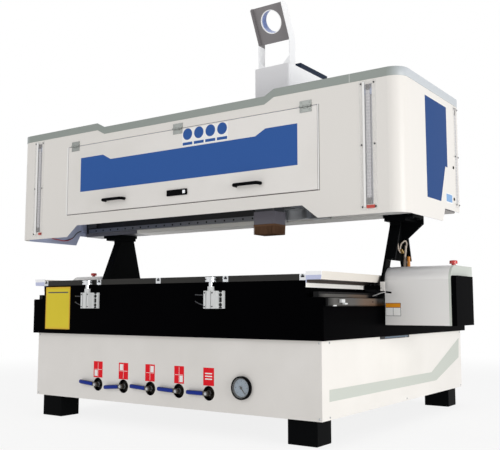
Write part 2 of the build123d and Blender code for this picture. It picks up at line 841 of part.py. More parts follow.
# Clear covers over the light slots and light bars behind them
with BuildPart() as light_covers:
    for name, sign in sides:
        cover_x = (sign * light_x - light_cover_w / 2, sign * light_x + light_cover_w / 2)
        slab(cover_x, (hood_front - light_cover_t, hood_front), (light_cover_bottom, light_cover_top))
        cover_y = (side_light_y - side_cover_w / 2, side_light_y + side_cover_w / 2)
        slab((sign * hood_half, sign * (hood_half + light_cover_t)), cover_y, (side_light_bottom, light_cover_top))
save(light_covers, "light_covers")

with BuildPart() as light_bars:
    for name, sign in sides:
        bar_x = (sign * light_x - light_bar_w / 2, sign * light_x + light_bar_w / 2)
        slab(bar_x, (hood_front, hood_front + light_bar_d), (light_slot_bottom, light_slot_top))
        bar_y = (side_light_y - light_bar_w / 2, side_light_y + light_bar_w / 2)
        slab((sign * hood_half, sign * (hood_half - light_bar_d)), bar_y,
             (side_light_bottom + side_slot_margin, light_slot_top))
save(light_bars, "light_bars")

# Door: a folded tray flush in the opening, hung from three hinges along its top edge
leaf_x = door_w / 2 - door_gap
with BuildPart() as door_panel:
    slab((-leaf_x, leaf_x), (hood_front, hood_front + door_d), (door_z + door_gap, door_top - door_gap))
    offset(amount=-cover_sheet, openings=door_panel.faces().sort_by(Axis.Y)[-1])
save(door_panel, "door_panel")

hinge_y = hood_front - hinge_knuckle_r - hinge_lift
hinge_z = door_top - door_gap / 2
hinge_xs = (-hinge_x, 0, hinge_x)
knuckle_l = hinge_knuckle_share * hinge_w
leaf_clear = hinge_knuckle_r + hinge_lift
with BuildPart() as hood_hinge_leaves:
    for x in hinge_xs:
        leaf_z = (hinge_z + leaf_clear, hinge_z + leaf_clear + hinge_leaf_h)
        slab((x - hinge_w / 2, x + hinge_w / 2), (hood_front - hinge_leaf_t, hood_front), leaf_z)
        pin_start = Plane((x - hinge_w / 2, hinge_y, hinge_z), x_dir=(0, 1, 0), z_dir=(1, 0, 0))
        extrude(disc(hinge_pin_r, pin_start), amount=hinge_w)
        for start in (0, hinge_w - knuckle_l):
            extrude(disc(hinge_knuckle_r, pin_start.offset(start)), amount=knuckle_l)
            tab_x = (x - hinge_w / 2 + start, x - hinge_w / 2 + start + knuckle_l)
            slab(tab_x, (hinge_y, hood_front - hinge_lift), (hinge_z, hinge_z + leaf_clear + hinge_leaf_t))
save(hood_hinge_leaves, "hood_hinge_leaves")

middle_l = hinge_w - 2 * knuckle_l - 2 * hinge_lift
with BuildPart() as door_hinge_leaves:
    for x in hinge_xs:
        leaf_z = (hinge_z - leaf_clear - hinge_leaf_h, hinge_z - leaf_clear)
        slab((x - hinge_w / 2, x + hinge_w / 2), (hood_front - hinge_leaf_t, hood_front), leaf_z)
        knuckle_start = Plane((x - middle_l / 2, hinge_y, hinge_z), x_dir=(0, 1, 0), z_dir=(1, 0, 0))
        extrude(disc(hinge_knuckle_r, knuckle_start), amount=middle_l)
        slab((x - middle_l / 2, x + middle_l / 2), (hinge_y, hood_front - hinge_lift),
             (hinge_z - leaf_clear - hinge_leaf_t, hinge_z))
        extrude(disc(hinge_pin_r + fit, knuckle_start), amount=middle_l, mode=Mode.SUBTRACT)
save(door_hinge_leaves, "door_hinge_leaves")

# Bow handles and a flush lock with a push button
with BuildPart() as door_handles:
    for name, sign in sides:
        x = sign * handle_x
        with BuildLine() as bow:
            FilletPolyline(
                (x - handle_l / 2, hood_front, handle_z),
                (x - handle_l / 2, hood_front - handle_reach, handle_z),
                (x + handle_l / 2, hood_front - handle_reach, handle_z),
                (x + handle_l / 2, hood_front, handle_z),
                radius=handle_bend_r,
            )
        start = Plane((x - handle_l / 2, hood_front, handle_z), x_dir=(1, 0, 0), z_dir=(0, -1, 0))
        sweep(disc(handle_r, start), path=bow.line)
save(door_handles, "door_handles")

button_x = lock_w / 2 - lock_button_edge - lock_button_w / 2
with BuildPart() as lock_body:
    slab((-lock_w / 2, lock_w / 2), (hood_front - lock_t, hood_front),
         (lock_z - lock_h / 2, lock_z + lock_h / 2))
    pocket = lock_button_w / 2 + gap
    slab((button_x - pocket, button_x + pocket), (hood_front - lock_t, hood_front - lock_t + lock_pocket),
         (lock_z - pocket, lock_z + pocket), Mode.SUBTRACT)
save(lock_body, "lock_body")

with BuildPart() as lock_button:
    half_button = lock_button_w / 2
    button_y = hood_front - lock_t - lock_button_t / 2
    slab((button_x - half_button, button_x + half_button), (button_y, button_y + lock_button_t),
         (lock_z - half_button, lock_z + half_button))
save(lock_button, "lock_button")

# Drive covers: a sheet box with a rounded front edge, open towards the column, with an end cap
for name, sign in sides:
    drive_in = sign * drive_in_x
    drive_out = sign * drive_out_x
    with BuildPart() as drive_cover:
        slab((drive_in, drive_out), (drive_front, drive_rear), (drive_z, drive_top))
        front_top = drive_cover.edges().filter_by(Axis.X).group_by(Axis.Z)[-1].sort_by(Axis.Y)[0]
        fillet(front_top, drive_r)
        offset(amount=-cover_sheet, openings=drive_cover.faces().sort_by(Axis.X)[0 if sign > 0 else -1])
        with Locations((sign * stop_x, stop_y, drive_top)):
            Cylinder(stop_stem_r + gap, 2 * overrun, mode=Mode.SUBTRACT)
    save(drive_cover, f"drive_cover_{name}")
    with BuildPart() as drive_cap:
        cap_face = sign * drive_out_x
        cap_end = sign * (drive_out_x + drive_cap_t)
        slab((cap_face, cap_end), (drive_front, drive_cap_rear), (drive_z, drive_top - drive_cap_drop))
        cap_edge = drive_cap.edges().filter_by(Axis.X).group_by(Axis.Z)[-1].sort_by(Axis.Y)[0]
        fillet(cap_edge, drive_cap_r)
    save(drive_cap, f"drive_cap_{name}")

# Emergency stops: a collar on each drive cover and a button that is pressed into it
collar_top = drive_top + stop_collar_h
with BuildPart() as e_stop_collars:
    for name, sign in sides:
        seat = Plane((sign * stop_x, stop_y, drive_top))
        extrude(disc(stop_collar_r, seat), amount=stop_collar_h)
        extrude(disc(stop_stem_r + gap, seat), amount=stop_collar_h, mode=Mode.SUBTRACT)
save(e_stop_collars, "e_stop_collars")

for name, sign in sides:
    with BuildPart() as e_stop:
        under = Plane((sign * stop_x, stop_y, collar_top + stop_lift))
        extrude(disc(stop_head_r, under), amount=stop_head_h)
        fillet(e_stop.edges().group_by(Axis.Z)[-1], stop_head_h / 3)
        extrude(disc(stop_stem_r, under), amount=-stop_lift - stop_collar_h - stop_stem_drop)
    save(e_stop, f"e_stop_{name}")

# Y motors: a plate bolted to the column's web, a gearbox and a motor inside the drive cover
motor_y = (drive_front + drive_rear) / 2
with BuildPart() as y_motors:
    for name, sign in sides:
        plate_x = sign * drive_in_x
        slab((plate_x, plate_x + sign * motor_plate_t), span(motor_y, motor_plate_w),
             (motor_plate_top - motor_plate_h, motor_plate_top))
        face = Plane((plate_x + sign * motor_plate_t, motor_y, motor_z), x_dir=(0, 1, 0), z_dir=(sign, 0, 0))
        extrude(disc(gearbox_r, face), amount=gearbox_l)
        motor_from = plate_x + sign * (motor_plate_t + gearbox_l)
        slab((motor_from, motor_from + sign * motor_l), (motor_y - motor_w / 2, motor_y + motor_w / 2),
             (motor_z - motor_w / 2, motor_z + motor_w / 2))
save(y_motors, "y_motors")

# Cables clipped in the right column: one looped cable, one straight one and a short hose
cable_x = drive_in_x + cable_x_lift
cable_y = rear_edge(column_window_top) - column_flange_t - cable_back
with BuildPart() as column_cables:
    with BuildLine() as looped:
        FilletPolyline(
            (cable_x, cable_y - cable_turn, seat_z),
            (cable_x, cable_y - cable_turn, cable_loop_z),
            (cable_x, cable_y, column_window_top),
            (cable_x, cable_y, drive_top),
            radius=cable_bend_r,
        )
    sweep(disc(cable_r, Plane((cable_x, cable_y - cable_turn, seat_z), z_dir=(0, 0, -1))), path=looped.line)
    straight = Plane((cable_x, cable_y + cable_pitch, drive_top))
    extrude(disc(cable_r, straight), amount=seat_z - drive_top)
    hose_foot = Plane((cable_x + hose_pitch, cable_y + cable_pitch, drive_top))
    extrude(disc(hose_r, hose_foot), amount=hose_h)
save(column_cables, "column_cables")

# Carriage: a plate on four blocks, with two upright ways for the slide
carriage_rear = beam_front - x_block_h
carriage_front = carriage_rear - carriage_t
tower_in = tower_w / 2 - tower_sheet
with BuildPart() as carriage_plate:
    slab((spindle_x - carriage_w / 2, spindle_x + carriage_w / 2), (carriage_front, carriage_rear),
         (carriage_bottom, carriage_shoulder))
    slab((spindle_x - tower_in, spindle_x + tower_in), (carriage_front, carriage_rear),
         (carriage_shoulder, carriage_top))
    for offset_x in (-way_spread / 2, way_spread / 2):
        way_x = (spindle_x + offset_x - way_w / 2, spindle_x + offset_x + way_w / 2)
        slab(way_x, (carriage_front - way_h, carriage_front), (carriage_bottom, carriage_shoulder))
save(carriage_plate, "carriage_plate")

with BuildPart() as x_blocks:
    for z in x_rail_zs:
        for sign in (-1, 1):
            x = spindle_x + sign * (carriage_w - x_block_l) / 2
            block_x = (x - x_block_l / 2, x + x_block_l / 2)
            slab(block_x, (carriage_rear, beam_front - x_block_lift), (z - x_block_w / 2, z + x_block_w / 2))
            throat_z = (z - x_rail_w / 2 - gap, z + x_rail_w / 2 + gap)
            slab(block_x, (beam_front - x_rail_h - gap, beam_front), throat_z, Mode.SUBTRACT)
save(x_blocks, "x_blocks")

# Tower: a sheet box over the slide's motor, a flat lid and a leaning bracket for the hose
bracket_x = (spindle_x - tower_w / 2, spindle_x + tower_w / 2)
tower_x = (bracket_x[0] - tower_side, bracket_x[1])
with BuildPart() as tower_box:
    slab(tower_x, (tower_front, tower_rear), (tower_bottom, tower_top))
    fillet(tower_box.edges().filter_by(Axis.Z).group_by(Axis.Y)[0], tower_edge_r)
    offset(amount=-tower_sheet, openings=tower_box.faces().sort_by(Axis.Z)[0])
save(tower_box, "tower_box")

with BuildPart() as tower_lid:
    slab(tower_x, (lid_front, tower_rear), (tower_top, tower_top + lid_t))
save(tower_lid, "tower_lid")

bracket_front = bracket_rear - bracket_depth
lean = Vector(0, -bracket_lean, bracket_top - bracket_knee_z)
cheek = [
    (bracket_rear, tower_top),
    (bracket_rear, bracket_knee_z),
    (bracket_rear - bracket_lean, bracket_top),
    (bracket_front - bracket_lean + bracket_corner, bracket_top),
    (bracket_front - bracket_lean, bracket_top - bracket_corner),
    (bracket_front, bracket_knee_z - bracket_plate_drop),
    (bracket_front, tower_top),
]
plate_foot = Vector(spindle_x, bracket_front + bracket_setback, bracket_knee_z - bracket_plate_drop)
plate_l = lean.length + bracket_plate_drop
plate_plane = Plane(plate_foot, x_dir=(1, 0, 0), z_dir=Vector(1, 0, 0).cross(lean))
bracket_in = tower_w / 2 - bracket_sheet
with BuildPart() as hose_bracket:
    for cheek_x in (bracket_x[0], bracket_x[1] - bracket_sheet):
        extrude(face_of(cheek, Plane.YZ.offset(cheek_x)), amount=bracket_sheet)
    with BuildSketch(plate_plane) as leaning:
        Rectangle(2 * bracket_in, plate_l, align=(Align.CENTER, Align.MIN))
    extrude(leaning.sketch, amount=-bracket_sheet)
    ring_plane = Plane(plate_plane.from_local_coords(Vector(0, ring_place_share * plate_l, 0)),
                       x_dir=(1, 0, 0), z_dir=plate_plane.z_dir)
    extrude(disc(ring_r, ring_plane), amount=-ring_l)
    ring_mouth = ring_plane.offset(overrun)
    extrude(disc(ring_r - ring_wall, ring_mouth), amount=-ring_l - 2 * overrun, mode=Mode.SUBTRACT)
    for sign in (-1, 1):
        corner = [
            (spindle_x + sign * bracket_in, tower_top),
            (spindle_x + sign * bracket_in, tower_top + bracket_gusset),
            (spindle_x + sign * (bracket_in - bracket_gusset), tower_top),
        ]
        extrude(face_of(corner, Plane.XZ.offset(-bracket_front)), amount=-bracket_sheet)
save(hose_bracket, "hose_bracket")

with BuildPart() as z_motor:
    shelf_y = (carriage_front - z_motor_w, carriage_rear)
    slab((spindle_x - tower_in, spindle_x + tower_in), shelf_y, (carriage_top, carriage_top + z_motor_shelf_t))
    slab((spindle_x - z_motor_w / 2, spindle_x + z_motor_w / 2), (carriage_front - z_motor_w, carriage_front),
         (carriage_top + z_motor_shelf_t, z_motor_z + z_motor_l))
save(z_motor, "z_motor")

# Z slide: a plate on the ways with a deep bracket that holds the spindle
slide_rear = carriage_front - y_block_lift
slide_front = slide_rear - slide_t - way_h
nose_z = shoe_top - nose_h
spindle_front = spindle_y - spindle_d / 2
spindle_rear = spindle_y + spindle_d / 2
with BuildPart() as z_slide:
    slab(span(spindle_x, slide_w), (slide_front, slide_rear), (slide_bottom, slide_top))
    for offset_x in (-way_spread / 2, way_spread / 2):
        throat_x = (spindle_x + offset_x - way_w / 2 - gap, spindle_x + offset_x + way_w / 2 + gap)
        slab(throat_x, (carriage_front - way_h - gap, carriage_front),
             (slide_bottom - overrun, slide_top + overrun), Mode.SUBTRACT)
    for sign in (-1, 1):
        rib_x = spindle_x + sign * slide_rib_w / 2
        slab((rib_x, rib_x - sign * slide_rib_t), (spindle_rear, slide_front), (slide_bottom, slide_top))
    slab(span(spindle_x, slide_rib_w), (spindle_rear, spindle_rear + slide_rib_t),
         (slide_bottom, slide_top))
save(z_slide, "z_slide")

with BuildPart() as spindle_body:
    slab(span(spindle_x, spindle_w), (spindle_front, spindle_rear), (shoe_top, spindle_top))
    fillet(spindle_body.edges().filter_by(Axis.Z).group_by(Axis.Y)[0], spindle_edge_r)
    extrude(disc(nose_r, Plane((spindle_x, spindle_y, shoe_top))), amount=-nose_h)
    nose_tip = Plane((spindle_x, spindle_y, nose_z))
    extrude(disc(nut_neck_r + fit, nose_tip), amount=nut_shank_l + gap, mode=Mode.SUBTRACT)
save(spindle_body, "spindle_body")

# Dust shoe: a box open at the bottom round the spindle's nose, with a brush skirt below
shoe_x = (spindle_x - shoe_w / 2, spindle_x + shoe_w / 2)
shoe_y = (spindle_y - shoe_d / 2, spindle_y + shoe_d / 2)
with BuildPart() as dust_shoe:
    slab(shoe_x, shoe_y, (shoe_z, shoe_top))
    offset(amount=-shoe_wall, openings=dust_shoe.faces().sort_by(Axis.Z)[0])
    with Locations((spindle_x, spindle_y, shoe_top)):
        Cylinder(nose_r, 2 * overrun, mode=Mode.SUBTRACT)
save(dust_shoe, "dust_shoe")

with BuildPart() as brush_skirt:
    slab(shoe_x, shoe_y, (shoe_z - brush_h, shoe_z))
    slab((shoe_x[0] + brush_t, shoe_x[1] - brush_t), (shoe_y[0] + brush_t, shoe_y[1] - brush_t),
         (shoe_z - brush_h - overrun, shoe_z + overrun), Mode.SUBTRACT)
save(brush_skirt, "brush_skirt")

# Collet nut: a shank that turns in the spindle's nose, a nut with two flats and a tool bore
nut_z = nose_z - nut_neck_l
with BuildPart() as collet_nut:
    nut_top = Plane((spindle_x, spindle_y, nut_z))
    extrude(disc(nut_neck_r, nut_top), amount=nut_neck_l + nut_shank_l)
    extrude(disc(nut_r, nut_top), amount=-nut_h)
    for sign in (-1, 1):
        flat_x = (spindle_x + sign * nut_flat, spindle_x + sign * (nut_r + overrun))
        slab(flat_x, (spindle_y - nut_r, spindle_y + nut_r), (nut_z - nut_h / 2, nut_z - nut_h), Mode.SUBTRACT)
    extrude(disc(nut_bore_r, nut_top.offset(-nut_h)), amount=nut_bore_l, mode=Mode.SUBTRACT)
save(collet_nut, "collet_nut")
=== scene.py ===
import math
import bpy
import bmesh
from mathutils import Vector, Matrix


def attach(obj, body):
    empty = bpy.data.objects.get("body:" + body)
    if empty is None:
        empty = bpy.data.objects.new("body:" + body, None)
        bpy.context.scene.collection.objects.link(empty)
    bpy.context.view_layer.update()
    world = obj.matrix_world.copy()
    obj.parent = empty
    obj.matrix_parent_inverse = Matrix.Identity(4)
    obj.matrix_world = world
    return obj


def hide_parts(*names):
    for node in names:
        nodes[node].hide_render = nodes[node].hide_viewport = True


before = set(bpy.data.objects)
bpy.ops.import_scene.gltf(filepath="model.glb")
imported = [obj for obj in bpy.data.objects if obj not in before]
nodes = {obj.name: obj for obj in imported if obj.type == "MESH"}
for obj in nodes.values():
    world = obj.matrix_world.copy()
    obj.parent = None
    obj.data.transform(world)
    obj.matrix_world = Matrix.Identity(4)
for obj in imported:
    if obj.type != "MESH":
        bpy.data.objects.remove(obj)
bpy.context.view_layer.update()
scene = bpy.context.scene
mm = 0.001
sides = {"right": 1, "left": -1}
print("stage: frame loaded,", len(nodes), "nodes")


def linear(hexColour):
    channels = [int(hexColour[i:i + 2], 16) / 255 for i in (1, 3, 5)]
    return tuple(c / 12.92 if c <= 0.04045 else ((c + 0.055) / 1.055) ** 2.4 for c in channels) + (1.0,)


def add(tree, kind, links=None, values=None, **settings):  # one node with its links, values and settings
    node = tree.nodes.new(kind)
    for key, value in settings.items():
        setattr(node, key, value)
    for key, value in (values or {}).items():
        node.inputs[key].default_value = value
    for key, source in (links or {}).items():
        tree.links.new(source, node.inputs[key])
    return node


def maths(tree, operation, first, second=None):  # one step of arithmetic on sockets and numbers
    node = add(tree, "ShaderNodeMath", operation=operation)
    for slot, value in enumerate((first, second)):
        if isinstance(value, (int, float)):
            node.inputs[slot].default_value = value
        elif value is not None:
            tree.links.new(value, node.inputs[slot])
    return node.outputs[0]


def over(tree, value, edge):  # 1 where the value is greater
    return maths(tree, "GREATER_THAN", value, edge)


def under(tree, value, edge):  # 1 where the value is less
    return maths(tree, "LESS_THAN", value, edge)


def size(tree, value):
    return maths(tree, "ABSOLUTE", value)


def product(tree, *factors):  # 1 where all the factors are
    result = factors[0]
    for factor in factors[1:]:
        result = maths(tree, "MULTIPLY", result, factor)
    return result


def largest(tree, *values):  # 1 where any of the values is
    result = values[0]
    for value in values[1:]:
        result = maths(tree, "MAXIMUM", result, value)
    return result


def ramp(tree, value, low, high, first=0.0, last=1.0):
    values = {"From Min": low, "From Max": high, "To Min": first, "To Max": last}
    return add(tree, "ShaderNodeMapRange", {"Value": value}, values).outputs["Result"]


def blend(tree, factor, first, second):  # two colours, as hex or sockets, mixed by a factor
    node = add(tree, "ShaderNodeMix", {"Factor": factor}, data_type="RGBA")
    for slot, colour in ((6, first), (7, second)):
        if isinstance(colour, str):
            node.inputs[slot].default_value = linear(colour)
        else:
            tree.links.new(colour, node.inputs[slot])
    return node.outputs[2]


def vectorMaths(tree, operation, output, first, second=None):
    values = None if second is None else {1: second}
    return add(tree, "ShaderNodeVectorMath", {0: first}, values, operation=operation).outputs[output]


def placeIn(tree):
    return add(tree, "ShaderNodeTexCoord").outputs["Object"]


def axes(tree, vector):  # the three parts of a vector
    return tuple(add(tree, "ShaderNodeSeparateXYZ", {"Vector": vector}).outputs)


def facet(tree, kind):  # the three parts of the surface's normal
    return axes(tree, add(tree, "ShaderNodeNewGeometry").outputs[kind])


def noise(tree, vector, sizeMm, detail):
    values = {"Scale": 1000.0 / sizeMm, "Detail": detail}
    return add(tree, "ShaderNodeTexNoise", {"Vector": vector}, values).outputs["Fac"]


def surface(name, colour, roughness, metallic=0.0, **sockets):
    material = bpy.data.materials.new(name)
    material.use_nodes = True
    tree = material.node_tree
    shader = tree.nodes["Principled BSDF"]
    shader.inputs["Base Color"].default_value = linear(colour)
    shader.inputs["Roughness"].default_value = roughness
    shader.inputs["Metallic"].default_value = metallic
    for key, value in sockets.items():
        shader.inputs[key.replace("_", " ")].default_value = value
    return material, tree, shader


def plain(name, colour, roughness, metallic=0.0, **sockets):
    return surface(name, colour, roughness, metallic, **sockets)[0]


def satin(name, colour, gloss, roughness=0.35):  # even colour with little gloss: films and dull plate
    return plain(name, colour, roughness, Specular_IOR_Level=gloss)


def grain(tree, shader, sizeMm, depthMm, strength):  # fine surface relief of a real size
    place = placeIn(tree)
    bump = add(tree, "ShaderNodeBump", {"Height": noise(tree, place, sizeMm, 2.0)},
               {"Strength": strength, "Distance": depthMm * mm})
    tree.links.new(bump.outputs["Normal"], shader.inputs["Normal"])
    return place


def orangePeel(tree, shader):
    return grain(tree, shader, 3.5, 0.02, 0.2)


def paint(name, colour, darker, roughness=0.34, gloss=0.5):  # sprayed enamel on steel: soft gloss, slow unevenness
    material, tree, shader = surface(name, colour, roughness, Specular_IOR_Level=gloss)
    place = orangePeel(tree, shader)
    cloud = ramp(tree, noise(tree, place, 420, 4.0), 0.35, 0.75)
    tree.links.new(blend(tree, cloud, colour, darker), shader.inputs["Base Color"])
    return material


def metal(name, colour, roughness, streakMm, along):  # ground or drawn metal: fine lines along one axis
    material, tree, shader = surface(name, colour, roughness, 1.0)
    stretch = [1000.0 / streakMm] * 3
    stretch[along] /= 40
    mapping = add(tree, "ShaderNodeMapping", {"Vector": placeIn(tree)}, {"Scale": stretch})
    streaks = noise(tree, mapping.outputs["Vector"], 1000.0, 2.0)
    tree.links.new(ramp(tree, streaks, 0.0, 1.0, roughness * 0.8, roughness * 1.3), shader.inputs["Roughness"])
    return material


def plastic(name, colour, roughness, grainMm=1.2, gloss=0.4):  # moulded plastic: fine leather grain
    material, tree, shader = surface(name, colour, roughness, Specular_IOR_Level=gloss)
    grain(tree, shader, grainMm, 0.03, 0.3)
    return material


# Materials, each named for what the real one is
mats = {
    "whiteEnamel": paint("white enamel on steel", "#E5E1DC", "#DBD7D1"),
    # side and rear panels: the front panel's white enamel, brightened as painted light
    "sideEnamelPaintedLight": paint("white enamel on steel, brightened as painted light", "#F1EDE7", "#E8E4DD"),
    "blackEnamel": paint("black enamel on steel", "#020203", "#030304", 0.42, 0.005),
    "columnEnamel": paint("black enamel on welded plate", "#08090A", "#0B0C0D", 0.4, 0.014),
    "hoodEnamel": paint("white enamel on rolled sheet", "#E7E3DE", "#DFDBD5", 0.3),
    # the hood frame is bluish as painted shade inside the hood
    "paintedShade": paint("bluish grey primer on steel", "#A9B1CB", "#A2AAC4", 0.45),
    "trayWhite": paint("white powder coat in shade", "#DCDBDE", "#D6D5D9", 0.5),
    "darkPaint": paint("dark grey enamel on steel", "#3A3B3E", "#323336", 0.4),
    "capBlack": plastic("black ABS, matt", "#040405", 0.5, 1.2, 0.006),
    "lidBlack": plastic("bluish black ABS, moulded", "#232D3E", 0.45, 1.2, 0.05),
    "blackPlastic": plastic("black ABS, moulded", "#08080A", 0.45, 1.2, 0.018),
    "greyPlastic": plastic("dark grey ABS, moulded", "#6A676F", 0.5),
    "boardPvc": plastic("dark grey PVC board, milled", "#2C2B29", 0.6, 2.0, 0.15),
    "castAluminium": plastic("aluminium, silver anodised", "#D6D7D6", 0.45, 0.8),
    "whiteRubber": plastic("white PVC cable sheath", "#D9D9D6", 0.5),
    "beigeRubber": plastic("beige PVC hose", "#C3B5A6", 0.5),
    "blackRubber": plastic("black polyurethane hose", "#26262A", 0.4),
    "redRubber": plastic("red PVC wire", "#B5202A", 0.4),
    "orangeRubber": plastic("orange PVC hose end", "#DE8A25", 0.4),
    "hingeSteel": metal("stainless steel, brushed", "#8F928F", 0.45, 0.8, 0),
    "groundSteelX": metal("ground steel, lines across", "#86888C", 0.28, 0.6, 0),
    "zincSteel": metal("zinc plated steel, satin", "#B4B6B8", 0.34, 1.0, 0),
    "aluminium": metal("extruded aluminium, clear anodised", "#C6C8CA", 0.36, 0.8, 1),
    "leverSteel": plain("nickel plated steel, dull", "#55514A", 0.42, 0.9),
    "darkSteel": plain("black oxide steel", "#232427", 0.35, 0.9),
    "slateSteel": plain("blued steel, satin", "#5F7485", 0.4, 0.3),
    "chrome": plain("chrome plate, satin", "#D2D4D6", 0.24, 1.0),
    "brass": plain("brass, turned", "#B08D45", 0.3, 1.0),
    # valve bodies: real nickel plate, darkened much further as painted shade inside the panel's holes
    "nickel": satin("nickel plate, darkened as painted shade in the holes", "#26221C", 0.12, 0.5),
    "dialGrey": satin("gauge dial, pale grey enamel", "#8E9CAA", 0.2, 0.5),
    "endRed": satin("red plastic end, matt", "#C8574F", 0.1, 0.5),
    "blueVinyl": satin("blue dipped vinyl, glossy", "#122C86", 0.12, 0.3),
    "blueFilm": satin("blue vinyl film, satin", "#365DA0", 0.04, 0.36),
    "blueFilmPaintedShade": satin("blue vinyl film, darkened as painted shade, satin", "#22457C", 0.03, 0.36),
    "paleBlueFilm": satin("pale blue vinyl film, satin", "#7FA6D2", 0.1, 0.36),
    "goldFilm": satin("golden vinyl film, satin", "#D8AE38", 0.15),
    "stripeFilm": satin("pale green-grey vinyl film, satin", "#C9CDC4", 0.15),
    "redFilm": satin("red vinyl film, satin", "#E51D29", 0.08),
    "yellowFilm": satin("yellow vinyl film, satin", "#DCC733", 0.15),
    "orangeFilm": satin("orange vinyl film, satin", "#E0901F", 0.15),
    "blackFilm": satin("black vinyl film, satin", "#0D0D0E", 0.15, 0.4),
    "whiteFilm": plain("white vinyl film, satin", "#F0EFEC", 0.35),
    "stopRed": plain("red ABS, polished", "#CF2F2B", 0.25, Coat_Weight=0.3),
    "bristle": plain("brown horsehair, matt", "#66452A", 0.75),
    "clearAcrylic": plain("clear acrylic sheet", "#F4F5F6", 0.05, Alpha=0.1, IOR=1.49),
    "clearGlass": plain("clear gauge glass", "#F5F8F8", 0.03, Alpha=0.08, IOR=1.5),
    "brownShade": satin("shade in a joint, brownish", "#5F5653", 0.1, 0.8),
    "shade": plain("shade in a hole, matt black", "#060606", 0.9),
}


def keep(key, skin, colour):  # lists a material whose colour comes from nodes
    material, tree, shader = skin
    tree.links.new(colour, shader.inputs["Base Color"])
    mats[key] = material


# The drive cover is white with a green-grey end zone
drive = {"from": 1.377, "white": "#E2E0DD", "zone": "#BDC2B9"}
skin = surface("white enamel with a green-grey end", drive["white"], 0.34, Coat_Weight=0.15, Coat_Roughness=0.2)
tree = skin[1]
x, y, z = axes(tree, orangePeel(tree, skin[2]))
mask = over(tree, size(tree, x), drive["from"])
keep("driveEnamel", skin, blend(tree, mask, drive["white"], drive["zone"]))

# The beam's front is black above a pale strip, which carries a painted shadow at the left and painted shade at the
# right end
beam = {"strip": 1.168, "level": -0.2435, "left": -0.839, "right": 1.166, "low": 1.19, "rear": -0.1,
        "pale": "#F0EDE6", "dark": "#08080A", "dull": "#5E5E66", "end": "#87827F"}
skin = surface("cream enamel with a black front, painted shadow and shade", beam["pale"], 0.36)
tree = skin[1]
x, y, z = axes(tree, placeIn(tree))
forward = under(tree, y, beam["rear"])
black = product(tree, over(tree, z, beam["strip"]), under(tree, y, beam["level"]))
# dull is a painted shadow on the strip at the left; tail is painted shade under the right end
dull = product(tree, under(tree, x, beam["left"]), forward)
tail = product(tree, over(tree, x, beam["right"]), under(tree, z, beam["low"]), forward)
colour = blend(tree, black, blend(tree, dull, beam["pale"], beam["dull"]), beam["dark"])
keep("beamEnamel", skin, blend(tree, tail, colour, beam["end"]))

# The hood is white outside and bluish inside, which is painted shade on the inner faces; its rolled corners count as
# outside
hood = {"side": 1.3535, "front": -0.8175, "cornerX": 1.279, "cornerY": -0.743, "paintedShade": "#B6BED8",
        "white": "#E4E0DA"}
skin = surface("white enamel on rolled sheet, bluish primer inside", hood["white"], 0.32, Specular_IOR_Level=0.3)
tree = skin[1]
x, y, z = axes(tree, orangePeel(tree, skin[2]))
across = size(tree, x)
inside = product(tree, under(tree, across, hood["side"]), over(tree, y, hood["front"]))
corner = product(tree, over(tree, across, hood["cornerX"]), under(tree, y, hood["cornerY"]))
mask = product(tree, inside, maths(tree, "SUBTRACT", 1.0, corner))
keep("hoodPaint", skin, blend(tree, mask, hood["white"], hood["paintedShade"]))

# The hose bracket is white enamel, with grey painted shade on the leaning plate and the left cheek's inner face round
# the ring, and bluish painted shade inside the ring
ring = {"centre": (0.472, -0.5736, 2.2516), "up": (0, -0.439, 0.8984), "deep": (0, 0.8984, 0.439), "ring": 0.0668,
        "half": 0.1008, "left": -0.1064, "low": -0.1136, "rim": 0.009, "white": "#FBFBFB", "grey": "#7E7A7B",
        "bore": "#7388BE"}
skin = surface("white enamel with a grey plate", ring["white"], 0.36)
tree = skin[1]
arm = vectorMaths(tree, "SUBTRACT", "Vector", placeIn(tree), ring["centre"])
along = vectorMaths(tree, "DOT_PRODUCT", "Value", arm, ring["up"])
depth = vectorMaths(tree, "DOT_PRODUCT", "Value", arm, ring["deep"])
x, y, z = axes(tree, arm)
flat = add(tree, "ShaderNodeCombineXYZ", {"X": x, "Y": along})
away = vectorMaths(tree, "LENGTH", "Value", flat.outputs["Vector"])
plate = product(tree, over(tree, away, ring["ring"]), under(tree, x, ring["half"]),
                over(tree, x, ring["left"]), over(tree, z, ring["low"]))
bore = product(tree, over(tree, depth, ring["rim"]), under(tree, away, ring["ring"]))
colour = blend(tree, plate, ring["white"], ring["grey"])
keep("bracketEnamel", skin, blend(tree, bore, colour, ring["bore"]))

# Rail covers: cream folded sheet with painted shade on its underside and on a strip of the flange below it, the lower
# bar whitened as painted light, and an end plate with lilac painted shade below and near-white painted light above
cover = {"cream": "#E2DCD2", "under": "#4A423D", "white": "#FFFDF7", "end": ("#C3C8E4", "#FAFAFB"), "down": -0.5,
         "front": -0.9665, "step": 0.793, "flange": 0.922, "shade": (0.757, 0.7735)}
skin = surface("cream enamel on folded sheet, painted shade and light", cover["cream"], 0.36, Specular_IOR_Level=0.3)
tree = skin[1]
x, y, z = axes(tree, placeIn(tree))
foot, head = cover["shade"]
flange = under(tree, size(tree, x), cover["flange"])
flangeShadeStrip = product(tree, over(tree, z, foot), under(tree, z, head), flange)
dark = largest(tree, under(tree, facet(tree, "True Normal")[2], cover["down"]), flangeShadeStrip)
sheet = blend(tree, dark, cover["cream"], cover["under"])
plate = blend(tree, over(tree, z, cover["step"]), *cover["end"])
colour = blend(tree, under(tree, y, cover["front"]), sheet, plate)
bar = product(tree, under(tree, z, foot), flange)
keep("coverEnamel", skin, blend(tree, bar, colour, cover["white"]))

